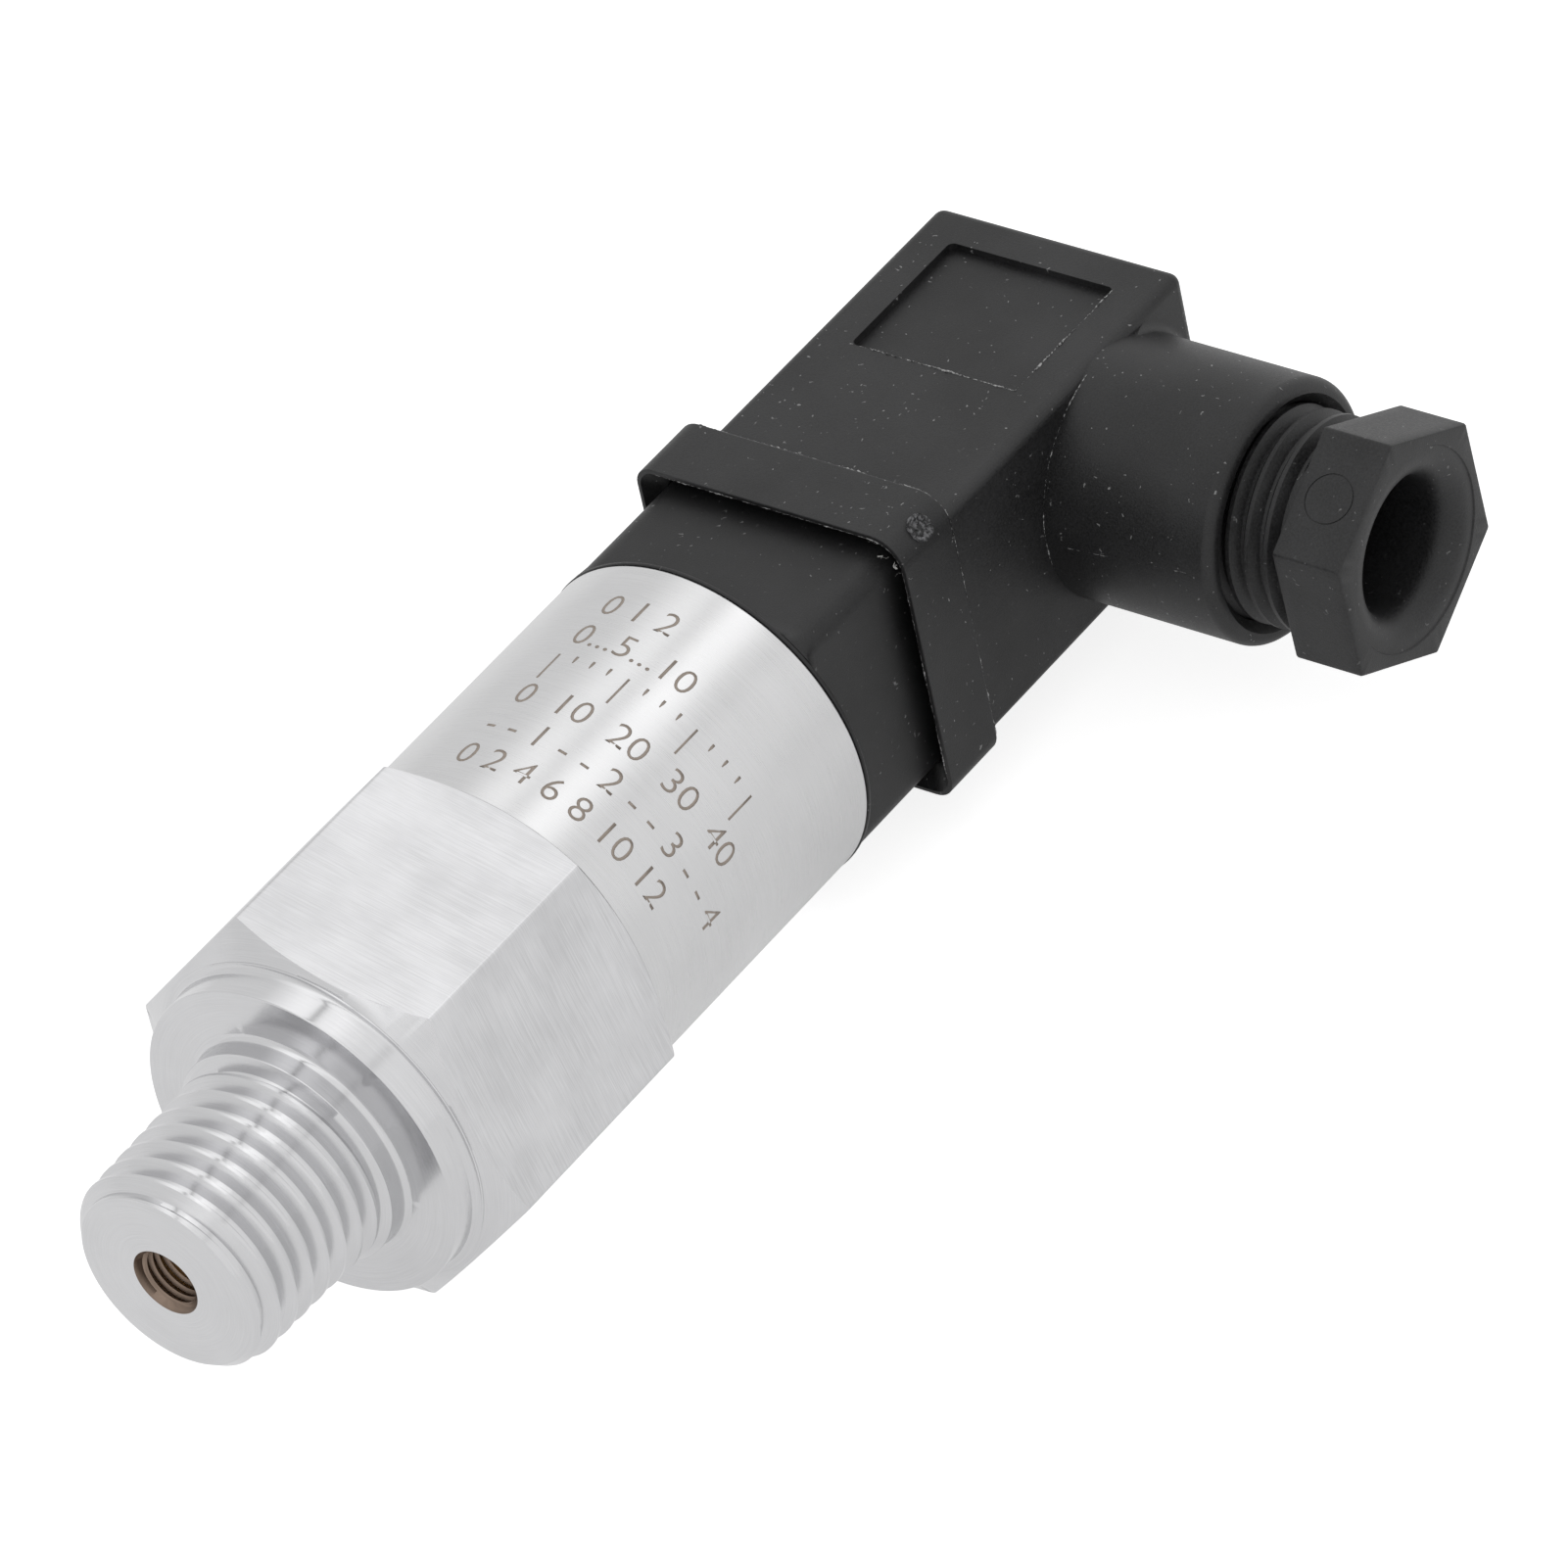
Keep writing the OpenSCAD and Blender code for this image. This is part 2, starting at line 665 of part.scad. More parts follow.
module plug_housing() {
    color([0.13, 0.13, 0.135]) difference() {
        union() {
            translate([0, 0, skirt_z]) round_prism(skirt_w, skirt_w, skirt_r, skirt_h);
            tower();
            boss();
        }
        // The skirt's opening, its bevelled mouth and the chamber above
        translate([0, 0, skirt_z - over])
            round_prism(skirt_bore_w, skirt_bore_w, pedestal_r + fit_gap, skirt_depth + over);
        skirt_bevel();
        translate([0, 0, seat_z - over])
            round_prism(chamber_w, chamber_w, pedestal_r / 2, chamber_z - seat_z + over);
        // The way of the centre screw and the seat of its head
        translate([0, 0, seat_z]) cylinder(d = screw_d + 2 * free_gap, h = tower_h + skirt_h);
        translate([0, 0, head_seat_z]) cylinder(d = head_bore_d, h = roof_t + over);
        // The threaded bore of the gland, its chamfered mouth and the cable's way in
        along_cable() {
            translate([0, 0, boss_floor_x]) cylinder(d = boss_bore_d, h = boss_reach - boss_floor_x + over);
            translate([0, 0, boss_reach - boss_mouth])
                cylinder(d1 = boss_bore_d, d2 = boss_bore_d + 2 * boss_mouth, h = boss_mouth);
            translate([0, 0, chamber_w / 2 - over]) cylinder(d = passage_d, h = boss_reach - chamber_w / 2);
        }
    }
}

// The bevel that leads the pedestal into the skirt
module skirt_bevel() {
    mouth_w = skirt_w - 2 * skirt_rim;
    bore_r = pedestal_r + fit_gap;
    layer = over / 10;
    hull() {
        translate([0, 0, skirt_z - layer]) round_prism(mouth_w, mouth_w, skirt_r, layer);
        translate([0, 0, skirt_z + skirt_bevel_h])
            round_prism(skirt_bore_w, skirt_bore_w, bore_r, layer);
    }
}

// The room of one spring contact and its screw block
module contact_room(index, grow) {
    width = (index == 3 ? earth_w : pin_w) + 2 * clip_wall + 2 * grow;
    rotate([0, 0, PIN_TURNS[index]]) {
        translate([pin_place - clip_t / 2 - grow, -width / 2, clip_z - grow])
            cube([clip_t + 2 * grow, width, insert_top - clip_z + block_h]);
        translate([pin_place - block_t / 2 - grow, -block_w / 2 - grow, block_z - grow])
            cube([block_t + 2 * grow, block_w + 2 * grow, 2 * block_h + over]);
    }
}

module terminal_insert() {
    color([0.16, 0.16, 0.17]) difference() {
        translate([0, 0, insert_z]) round_prism(insert_w, insert_w, pedestal_r / 2, insert_h);
        translate([0, 0, insert_z - over])
            cylinder(d = screw_d + 2 * free_gap, h = insert_h + 2 * over);
        for (pin = [0:3]) {
            contact_room(pin, press_gap);
            pin_shape(pin, thread_gap);
        }
    }
}

// A spring clip that grips one pin, with the block that clamps a wire above it
module spring_contact(index) {
    width = (index == 3 ? earth_w : pin_w) + 2 * clip_wall;
    wire_d = terminal_d;
    block_top = insert_top + block_h;
    color([0.82, 0.70, 0.35]) difference() {
        rotate([0, 0, PIN_TURNS[index]]) union() {
            translate([pin_place - clip_t / 2, -width / 2, clip_z])
                cube([clip_t, width, insert_top - clip_z]);
            translate([pin_place - block_t / 2, -block_w / 2, block_z])
                cube([block_t, block_w, 2 * block_h]);
        }
        pin_shape(index, thread_gap);
        rotate([0, 0, PIN_TURNS[index]]) {
            translate([pin_place, block_w / 2 + over, block_top - wire_d])
                rotate([90, 0, 0]) cylinder(d = wire_d, h = block_w / 2 + over);
            translate([pin_place, 0, block_top - 2 * wire_d])
                cylinder(d = terminal_d + 2 * press_gap, h = 2 * wire_d + over);
        }
    }
}

// The four slotted screws that clamp the wires
module terminal_screws() {
    head_h = terminal_d * 0.6;
    block_top = insert_top + block_h;
    color([0.75, 0.75, 0.76]) for (turn = PIN_TURNS)
        rotate([0, 0, turn]) translate([pin_place, 0, block_top + press_gap]) difference() {
            union() {
                cylinder(d = terminal_head_d, h = head_h);
                translate([0, 0, -terminal_d]) cylinder(d = terminal_d, h = terminal_d + head_h);
            }
            translate([0, 0, head_h])
                cube([terminal_head_d + over, terminal_d / 4, head_h], center = true);
        }
}

// The rubber bush that seals on the cable, waisted by its grip lips
module cable_grommet() {
    color([0.10, 0.10, 0.10]) along_cable() translate([0, 0, boss_floor_x + press_gap])
        difference() {
            cylinder(d = boss_bore_d - 2 * fit_gap, h = grommet_len);
            translate([0, 0, -over]) cylinder(d = grommet_hole_d, h = grommet_len + 2 * over);
            // The waist round the outside
            translate([0, 0, grommet_len / 3])
                tube(boss_bore_d + over, boss_bore_d - grommet_len / 2, grommet_len / 3);
        }
}

module pressure_ring() {
    color([0.60, 0.60, 0.62]) along_cable() translate([0, 0, nut_z_tail - ring_t])
        tube(boss_bore_d - 2 * fit_gap, gland_bore_d, ring_t - press_gap);
}

// The gland nut: a threaded shank, a relief and a hexagon with a flared mouth
module gland_nut() {
    relief_w = gland_pitch / 2;
    relief_d = gland_d - gland_pitch;
    corner_d = gland_af / cos(30);
    color([0.13, 0.13, 0.135]) along_cable() difference() {
        union() {
            translate([0, 0, nut_z_tail]) cylinder(d = gland_d, h = gland_shank - relief_w);
            translate([0, 0, nut_z_tail]) cylinder(d = relief_d, h = gland_shank + relief_w);
            rotate([0, 0, gland_turn]) translate([0, 0, nut_hex_x])
                chamfered_hex(gland_af, gland_hex_len, corner_d, corner_d - 2 * gland_chamfer, 45);
        }
        translate([0, 0, nut_z_tail - over])
            cylinder(d = gland_bore_d, h = gland_shank + gland_hex_len + 2 * over);
        // The flare, a quarter round turned about the cable's axis
        translate([0, 0, nut_end_x - gland_flare]) rotate_extrude() difference() {
            square([gland_bore_d / 2 + gland_flare, gland_flare + over]);
            translate([gland_bore_d / 2 + gland_flare, 0]) circle(gland_flare);
        }
    }
}

module screw_seal() {
    color([0.12, 0.12, 0.12]) translate([0, 0, head_seat_z + press_gap])
        tube(screw_head_d, screw_d + 2 * thread_gap, washer_t - 2 * press_gap);
}

// The long slotted screw that holds the plug on the base
module centre_screw() {
    slot_w = screw_head_h * 0.4;
    color([0.80, 0.80, 0.80]) difference() {
        union() {
            translate([0, 0, screw_tip_z]) cylinder(d = screw_d, h = screw_len);
            translate([0, 0, screw_top_z]) cylinder(d = screw_head_d, h = screw_head_h);
        }
        translate([0, 0, screw_top_z + screw_head_h])
            cube([screw_head_d + over, slot_w, screw_head_h], center = true);
    }
}

process_fitting();
throttle_screw();
cell_seal();
sensor_cell();
cell_retainer();
housing_sleeve();
board_holder();
circuit_board();
amplifier_chip();
filter_capacitors();
cell_leads();
pin_leads();
plug_base();
base_seal();
threaded_bush();
contact_pin(0);  // contact_pin_1
contact_pin(1);  // contact_pin_2
contact_pin(2);  // contact_pin_3
contact_pin(3);  // earth_pin
plug_gasket();
plug_housing();
terminal_insert();
spring_contact(0);  // spring_contact_1
spring_contact(1);  // spring_contact_2
spring_contact(2);  // spring_contact_3
spring_contact(3);  // earth_contact
terminal_screws();
cable_grommet();
pressure_ring();
gland_nut();
screw_seal();
centre_screw();
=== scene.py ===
"""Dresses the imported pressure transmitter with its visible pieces, their finishes and a white stage.

All lengths are in metres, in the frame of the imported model: the stud's axis is Z and points down,
the cable leaves along +X, and the tower's face with the sunk panel looks along -Y.
"""

import json
from math import atan2, cos, pi, radians, sin, tan

import bmesh
import bpy
import numpy as np
from bpy.props import FloatProperty, FloatVectorProperty, IntProperty, PointerProperty
from bpy.types import Operator, Panel, PropertyGroup
from mathutils import Matrix, Vector


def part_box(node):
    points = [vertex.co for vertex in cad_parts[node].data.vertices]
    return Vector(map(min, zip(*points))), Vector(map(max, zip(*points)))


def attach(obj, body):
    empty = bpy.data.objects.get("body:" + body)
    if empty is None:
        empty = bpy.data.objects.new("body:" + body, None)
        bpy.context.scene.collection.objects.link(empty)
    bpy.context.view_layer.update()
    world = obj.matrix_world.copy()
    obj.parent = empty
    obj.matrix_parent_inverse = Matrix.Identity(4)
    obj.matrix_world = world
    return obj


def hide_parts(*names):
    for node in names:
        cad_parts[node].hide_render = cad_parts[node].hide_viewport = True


bl_info = {
    "name": "Pressure transmitter",
    "version": (1, 0, 0),
    "blender": (4, 5, 0),
    "location": "View3D > Sidebar > Transmitter",
    "description": "Builds the visible pieces of a pressure transmitter round its packed model",
    "category": "Add Mesh",
}

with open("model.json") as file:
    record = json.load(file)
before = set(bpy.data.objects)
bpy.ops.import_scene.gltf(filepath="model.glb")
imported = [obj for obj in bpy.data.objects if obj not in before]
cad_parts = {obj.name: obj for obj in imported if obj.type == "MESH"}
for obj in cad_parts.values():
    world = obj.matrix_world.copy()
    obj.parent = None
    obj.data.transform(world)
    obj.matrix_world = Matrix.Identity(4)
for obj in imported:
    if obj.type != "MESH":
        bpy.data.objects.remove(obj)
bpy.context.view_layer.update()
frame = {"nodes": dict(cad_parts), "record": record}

MM = 0.001
MOUNTS = {mount["name"]: mount for mount in frame["record"]["mounts"]}

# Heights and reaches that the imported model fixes
FITTING_LOW, FITTING_HIGH = (Vector(corner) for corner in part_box("process_fitting"))
SLEEVE_LOW, SLEEVE_HIGH = (Vector(corner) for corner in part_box("housing_sleeve"))
BASE_LOW, BASE_HIGH = (Vector(corner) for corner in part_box("plug_base"))
HOUSING_LOW, HOUSING_HIGH = (Vector(corner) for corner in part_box("plug_housing"))
NUT_LOW, NUT_HIGH = (Vector(corner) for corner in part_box("gland_nut"))
SCREW_LOW, SCREW_HIGH = (Vector(corner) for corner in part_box("centre_screw"))
PORT_SCREW_LOW, PORT_SCREW_HIGH = (Vector(corner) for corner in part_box("throttle_screw"))
CELL_LOW, CELL_HIGH = (Vector(corner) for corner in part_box("sensor_cell"))
RETAINER_LOW, RETAINER_HIGH = (Vector(corner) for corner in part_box("cell_retainer"))
GROMMET_LOW, GROMMET_HIGH = (Vector(corner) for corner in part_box("cable_grommet"))
COLLAR_FACE = MOUNTS["sealing_face"]["pos_m"][2]
OUTLET_HEIGHT = MOUNTS["cable_entry"]["pos_m"][2]
NUT_BORE = MOUNTS["cable_entry"]["dims"]["r_mm"] * MM


def length(name, description, millimetres):
    """A length that a user may change, given in millimetres and kept in metres."""
    return FloatProperty(name=name, description=description, default=millimetres * MM,
                         min=0, unit="LENGTH", precision=5)


def turn(name, description, degrees):
    """An angle that a user may change."""
    return FloatProperty(name=name, description=description, default=radians(degrees), subtype="ANGLE")


def share(name, description, value):
    """A number from 0 to 1 that a user may change."""
    return FloatProperty(name=name, description=description, default=value, min=0, max=1, subtype="FACTOR")


def colour(name, description, value):
    """A colour that a user may change."""
    return FloatVectorProperty(name=name, description=description, default=value,
                               min=0, max=1, size=3, subtype="COLOR")


class FittingSizes(PropertyGroup):
    """Sizes of the stud, collar and hexagon"""
    columns: IntProperty(name="Columns on a flat", description="Mesh columns across each flat of the hexagon",
                         default=34, min=8)
    crest: length("Thread crest", "Radius of the stud's crests beside the neck", 6.55)
    taper: length("Taper", "How much smaller the crests are at the stud's tip", 0.22)
    pitch: length("Pitch", "Rise of the stud's thread in one turn", 1.411)
    depth: length("Thread depth", "Height of the stud's thread from root to crest", 0.72)
    tip: length("Tip chamfer", "Size of the chamfer at the stud's tip", 1.0)
    neck: length("Neck", "Radius of the plain neck", 6.95)
    neck_height: length("Neck height", "Length of the plain neck under the collar", 1.45)
    fillet: length("Fillet", "Radius between neck and sealing face", 0.4)
    collar: length("Collar", "Radius of the collar", 10.1)
    collar_height: length("Collar height", "Thickness of the collar", 1.9)
    root: length("Collar root", "Radius of the hollow fillet between collar and hexagon", 0.4)
    across: length("Across flats", "Width of the hexagon across its flats", 22)
    corner: length("Corner radius", "Radius of the hexagon's long edges", 0.3)
    front: length("Front circle", "Radius at which the front chamfer starts", 10.6)
    twist: turn("Corner turn", "Turn of the hexagon's corners about the stud's axis", 13)
    chamfer: turn("Chamfer angle", "Slope of the turned chamfers on the hexagon", 30)
    port: length("Port", "Radius of the pressure port's core", 1.7)
    port_thread: length("Port thread", "Depth of the thread in the port", 0.2)
    port_chamfer: length("Port chamfer", "Size of the chamfer in the port's mouth", 0.4)
    port_pitch: length("Port pitch", "Pitch of the thread in the port", 0.5)
    port_depth: length("Port depth", "Depth of the pressure port", 9)
    duct: length("Duct", "Radius of the duct to the pressure cell", 1)


class SleeveSizes(PropertyGroup):
    """Sizes of the housing sleeve and its marks"""
    wall: length("Wall", "Wall of the sleeve", 0.8)
    edge: length("Edge radius", "Radius round the sleeve's rims", 0.16)
    mark_height: length("Mark height", "Height of the marked numbers", 1.7)
    mark_pitch: length("Row pitch", "Distance between two rows of marks", 2.7)
    mark_top: length("First row", "Distance of the first row's foot from the sleeve's upper rim", 4.35)
    mark_turn: turn("Row start", "Turn about the stud's axis at which the rows start", -100.7)


class PlugSizes(PropertyGroup):
    """Sizes of the plug base and the plug housing"""
    disc: length("Disc", "Thickness of the disc on the sleeve's rim", 0.28)
    pedestal: length("Pedestal", "Side of the square pedestal", 16.0)
    pedestal_corner: length("Pedestal corner", "Corner radius of the pedestal", 1.4)
    barrel: length("Barrel", "Radius of the barrel inside the sleeve", 9.9)
    barrel_wall: length("Barrel wall", "Wall of that barrel", 1.0)
    skirt_corner: length("Skirt corner", "Corner radius of the skirt", 1.3)
    skirt_front_corner: length("Skirt front corner", "Radius of the corner that carries the gate mark", 2.0)
    skirt_height: length("Skirt height", "Height of the skirt", 4.6)
    skirt_rim: length("Skirt rim", "Width of the skirt's lower rim", 0.25)
    bevel: length("Bevel", "Height of the bevel in the skirt's mouth", 1.2)
    seat: length("Seat depth", "Depth of the skirt's opening", 3.2)
    tower: length("Tower", "Width of the tower", 15.7)
    tower_shift: length("Tower shift", "How far the tower's cable side stands out past that width", 1.1)
    tower_edge: length("Tower edge", "Radius of the tower's edges", 0.7)
    chamber: length("Chamber", "Side of the square chamber in the tower", 12.3)
    roof: length("Roof", "Wall above the chamber", 4.0)
    panel_width: length("Panel width", "Width of the sunk panel", 11.3)
    panel_height: length("Panel height", "Height of the sunk panel", 10)
    panel_depth: length("Panel depth", "Depth of the sunk panel", 0.5)
    panel_drop: length("Panel drop", "Distance of the sunk panel from the tower's top", 2.8)
    boss: length("Boss", "Radius of the cable boss", 7.75)
    boss_edge: length("Boss edge", "Radius round the boss's end", 0.7)
    boss_fillet: length("Boss fillet", "Radius of the fillet on the boss's upper root", 0.6)
    boss_bore: length("Boss bore", "Radius of the boss's threaded bore", 6.3)
    passage: length("Passage", "Radius of the cable's way into the chamber", 4.0)
    gate: length("Gate mark", "Radius of the torn gate mark on the skirt's corner", 0.8)


class GlandSizes(PropertyGroup):
    """Sizes of the gland nut and the centre screw"""
    crest: length("Crest", "Radius of the nut's thread", 6.25)
    pitch: length("Pitch", "Pitch of the nut's thread", 1.27)
    depth: length("Depth", "Depth of the nut's thread", 0.55)
    hexagon: length("Hexagon length", "Length of the nut's hexagon", 4.45)
    across: length("Across flats", "Width of the nut across its flats", 13.3)
    corner: length("Corner radius", "Radius of the nut's edges", 0.22)
    flare: length("Flare", "Radius of the flare in the nut's mouth", 1.6)
    twist: turn("Turn", "Turn of the nut's corners about the cable", 33)
    ejector: length("Ejector circle", "Radius of the moulding circle on one flat", 1.5)
    head: length("Screw head", "Radius of the centre screw's head", 2.75)
    head_height: length("Head height", "Height of the centre screw's head", 2.0)
    shank: length("Screw shank", "Radius of the centre screw", 1.5)


class Colours(PropertyGroup):
    """Colours of the finishes, as linear values"""
    steel: colour("Steel", "Stainless steel of the fitting", (0.64, 0.64, 0.65))
    sleeve: colour("Sleeve", "Stainless steel of the sleeve", (0.65, 0.65, 0.655))
    plastic: colour("Plastic", "Black glass-filled plastic", (0.014, 0.014, 0.0145))
    flash: colour("Flash", "Pale burr along moulded edges", (0.40, 0.40, 0.40))
    mark: colour("Marks", "Laser marks on the sleeve", (0.34, 0.29, 0.25))
    brass: colour("Brass", "Turned brass", (0.74, 0.52, 0.18))
    dust: share("Dust", "How much dust lies on the black plastic", 0.7)


class StageSizes(PropertyGroup):
    """The floor, the lamps and the camera"""
    floor: FloatProperty(name="Floor", description="Side of the floor", default=4, unit="LENGTH")
    floor_seen: FloatProperty(name="Floor, seen", description="Glow of the floor where the camera looks at it",
                              default=0.8, min=0)
    floor_mirrored: FloatProperty(name="Floor, mirrored", description="Glow of the floor in reflections",
                                  default=0.42, min=0)
    key: FloatProperty(name="Key light", description="Power of the softbox over the object", default=0.06,
                       min=0, unit="POWER")
    fill: FloatProperty(name="Fill light", description="Strength of the light from all round", default=0.62, min=0)
    lens: FloatProperty(name="Focal length", description="Focal length of the camera in millimetres",
                        default=269.83, min=1)


# Outlines and meshes

def softened(corners, steps=5):
    """The points of a closed outline through (x, y, radius) corners, each rounded by its radius."""
    points = []
    for i, (x, y, radius) in enumerate(corners):
        here = Vector((x, y))
        if not radius:
            points.append(here)
            continue
        back = (Vector(corners[i - 1][:2]) - here).normalized()
        ahead = (Vector(corners[(i + 1) % len(corners)][:2]) - here).normalized()
        half = back.angle(ahead) / 2
        centre = here + (back + ahead).normalized() * radius / sin(half)
        start = here + back * radius / tan(half) - centre
        end = here + ahead * radius / tan(half) - centre
        sweep = start.angle(end)
        for k in range(steps + 1):
            near, far = sin((1 - k / steps) * sweep), sin(k / steps * sweep)
            points.append(centre + (start * near + end * far) / sin(sweep))
    return points


def polygon_ring(corners, flat_steps=24, arc_steps=5):
    """A rounded polygon round the origin as an array of points, closed on its first point."""
    points = softened(corners, arc_steps)
    longest = max((b - a).length for a, b in zip(points, points[1:] + points[:1]))
    dense = []
    for a, b in zip(points, points[1:] + points[:1]):
        steps = flat_steps if (b - a).length > longest / 2 else 1
        dense += [a.lerp(b, k / steps) for k in range(steps)]
    return np.array([tuple(p) for p in dense + dense[:1]])


def hexagon_ring(across, corner, twist, flat_steps=24):
    """A rounded hexagon of the given width across its flats."""
    reach = across / 2 / cos(pi / 6)
    spots = [twist + k * pi / 3 for k in range(6)]
    return polygon_ring([(reach * cos(a), reach * sin(a), corner) for a in spots], flat_steps)


def square_ring(side, corner, front_corner=None):
    """A rounded square of the given side. Its corner between -Y and +X may have its own radius."""
    half = side / 2
    spots = [(half, -half, front_corner or corner), (half, half, corner), (-half, half, corner),
             (-half, -half, corner)]
    return polygon_ring(spots, flat_steps=20, arc_steps=8)


def round_ring(columns=160):
    """Unit directions all round, closed on the first one."""
    angles = np.linspace(0, 2 * pi, columns + 1)
    return np.column_stack((np.cos(angles), np.sin(angles)))


def directions(ring):
    """The ring's points as unit directions, for round rows under the same columns."""
    return ring / np.hypot(ring[:, 0], ring[:, 1])[:, None]


def bearings(ring):
    """The ring's angles, rising without a jump."""
    return np.unwrap(np.arctan2(ring[:, 1], ring[:, 0]))


def thread_rows(unit, low, high, pitch, surface, crest_share=0.14, root_share=0.2, right_hand=True):
    """Rows that follow a screw thread from low to high.

    surface(depth_share, height) gives the radius where the profile is at 1 on a crest and 0 in a root.
    Rows past either end fold flat on it, so both ends are closed rings.
    """
    flank = (1 - crest_share - root_share) / 2
    steps = [0, crest_share]
    steps += [crest_share + flank * k / 3 for k in (1, 2, 3)]
    steps += [crest_share + flank + root_share, crest_share + flank + root_share + flank / 3,
              crest_share + flank + root_share + flank * 2 / 3]
    knots = [0, crest_share, crest_share + flank, crest_share + flank + root_share, 1]
    heights = [1, 1, 0, 0, 1]
    climb = bearings(unit) / (2 * pi) * (1 if right_hand else -1)
    climb = climb - climb.min()
    turns = int((high - low) / pitch) + 3
    rows = []
    for number in range(-1, turns):
        for step in steps:
            place = np.clip(low + (number - 1 + step + climb) * pitch, low, high)
            phase = ((place - low) / pitch - climb) % 1
            radius = surface(np.interp(phase, knots, heights), place)
            rows.append((unit * radius[:, None], place))
    return rows


def finished(name, vertices, faces, marks=None, merge=2e-7):
    """A mesh object from points and faces, with doubled points joined and its normals outward."""
    mesh = bpy.data.meshes.new(name)
    mesh.from_pydata([tuple(v) for v in vertices], [], faces)
    if marks is not None:
        mesh.polygons.foreach_set("material_index", marks)
    body = bmesh.new()
    body.from_mesh(mesh)
    bmesh.ops.remove_doubles(body, verts=body.verts, dist=merge)
    bmesh.ops.dissolve_degenerate(body, edges=body.edges, dist=merge)
    bmesh.ops.recalc_face_normals(body, faces=body.faces)
    body.to_mesh(mesh)
    body.free()
    piece = bpy.data.objects.new(name, mesh)
    bpy.context.scene.collection.objects.link(piece)
    return piece


def spun(name, rows, marks=None, loop=False):
    """A piece from rows of (ring, height), each ring an array of points round the axis.

    A loop joins the last row to the first. marks gives each band between rows its material's number.
    """
    grid = []
    for ring, height in rows:
        grid.append(np.column_stack((ring, np.broadcast_to(height, len(ring)))))
    columns = len(grid[0])
    bands = len(grid) if loop else len(grid) - 1
    faces, numbers = [], []
    for i in range(bands):
        low, high = i * columns, (i + 1) % len(grid) * columns
        faces += [(low + j, low + j + 1, high + j + 1, high + j) for j in range(columns - 1)]
        numbers += [marks[i] if marks else 0] * (columns - 1)
    return finished(name, np.concatenate(grid), faces, numbers)


def turned_rows(unit, corners, steps=4):
    """Rows of a turned piece from the (radius, height, rounding) corners of its closed section."""
    return [(unit * point.x, point.y) for point in softened(corners, steps)]


def along_cable(piece):
    """Lays a piece built round Z on the cable's axis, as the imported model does."""
    piece.data.transform(Matrix(((0, 0, 1, 0), (0, 1, 0, 0), (-1, 0, 0, OUTLET_HEIGHT), (0, 0, 0, 1))))
    return piece


def block(name, low, high, radius=0, steps=4):
    """A box from its two corners, its edges rounded by a bevel."""
    body = bmesh.new()
    bmesh.ops.create_cube(body, size=1)
    low, high = Vector(low), Vector(high)
    for vertex in body.verts:
        vertex.co = Vector((low[i] + (high[i] - low[i]) * (vertex.co[i] + 0.5) for i in range(3)))
    if radius:
        bmesh.ops.bevel(body, geom=body.edges, offset=radius, segments=steps, profile=0.5, affect="EDGES")
    mesh = bpy.data.meshes.new(name)
    body.to_mesh(mesh)
    body.free()
    piece = bpy.data.objects.new(name, mesh)
    bpy.context.scene.collection.objects.link(piece)
    return piece


def carve(piece, tools, operation="DIFFERENCE"):
    """Cuts the tools from the piece, or joins them to it, and deletes them."""
    for tool in tools:
        modifier = piece.modifiers.new("carve", "BOOLEAN")
        modifier.object = tool
        modifier.operation = operation
        modifier.solver = "EXACT"
    settle(piece)
    for tool in tools:
        bpy.data.objects.remove(tool)
    return piece


def settle(piece):
    """Turns the piece's modifiers into plain mesh."""
    graph = bpy.context.evaluated_depsgraph_get()
    mesh = bpy.data.meshes.new_from_object(piece.evaluated_get(graph))
    piece.modifiers.clear()
    piece.data = mesh


def place(piece, body, slot, materials, node=None, sharp=32):
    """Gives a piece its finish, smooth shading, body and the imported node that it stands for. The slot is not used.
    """
    for material in materials:
        piece.data.materials.append(material)
    piece.data.shade_smooth()
    piece.data.set_sharp_from_angle(angle=radians(sharp))
    weights = piece.modifiers.new("weighted normals", "WEIGHTED_NORMAL")
    weights.keep_sharp = True
    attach(piece, body)
    if node:
        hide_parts(node)
    return piece


# Finishes

class Wiring:
    """A node tree being wired."""

    def __init__(self, tree):
        self.tree = tree

    def add(self, kind, inputs=(), **settings):
        """Adds a node, sets it up and feeds its inputs by name or number."""
        node = self.tree.nodes.new(kind)
        for name, value in settings.items():
            setattr(node, name, value)
        for key, value in dict(inputs).items():
            if isinstance(value, bpy.types.NodeSocket):
                self.tree.links.new(value, node.inputs[key])
            else:
                node.inputs[key].default_value = value
        return node

    def math(self, operation, *values):
        """One arithmetic step."""
        return self.add("ShaderNodeMath", dict(enumerate(values)), operation=operation).outputs[0]

    def span(self, value, low, high, new_low, new_high):
        """Maps a stretch of values to another one, held at both ends."""
        node = self.add("ShaderNodeMapRange", {"Value": value, "From Min": low, "From Max": high,
                                               "To Min": new_low, "To Max": new_high})
        return node.outputs["Result"]


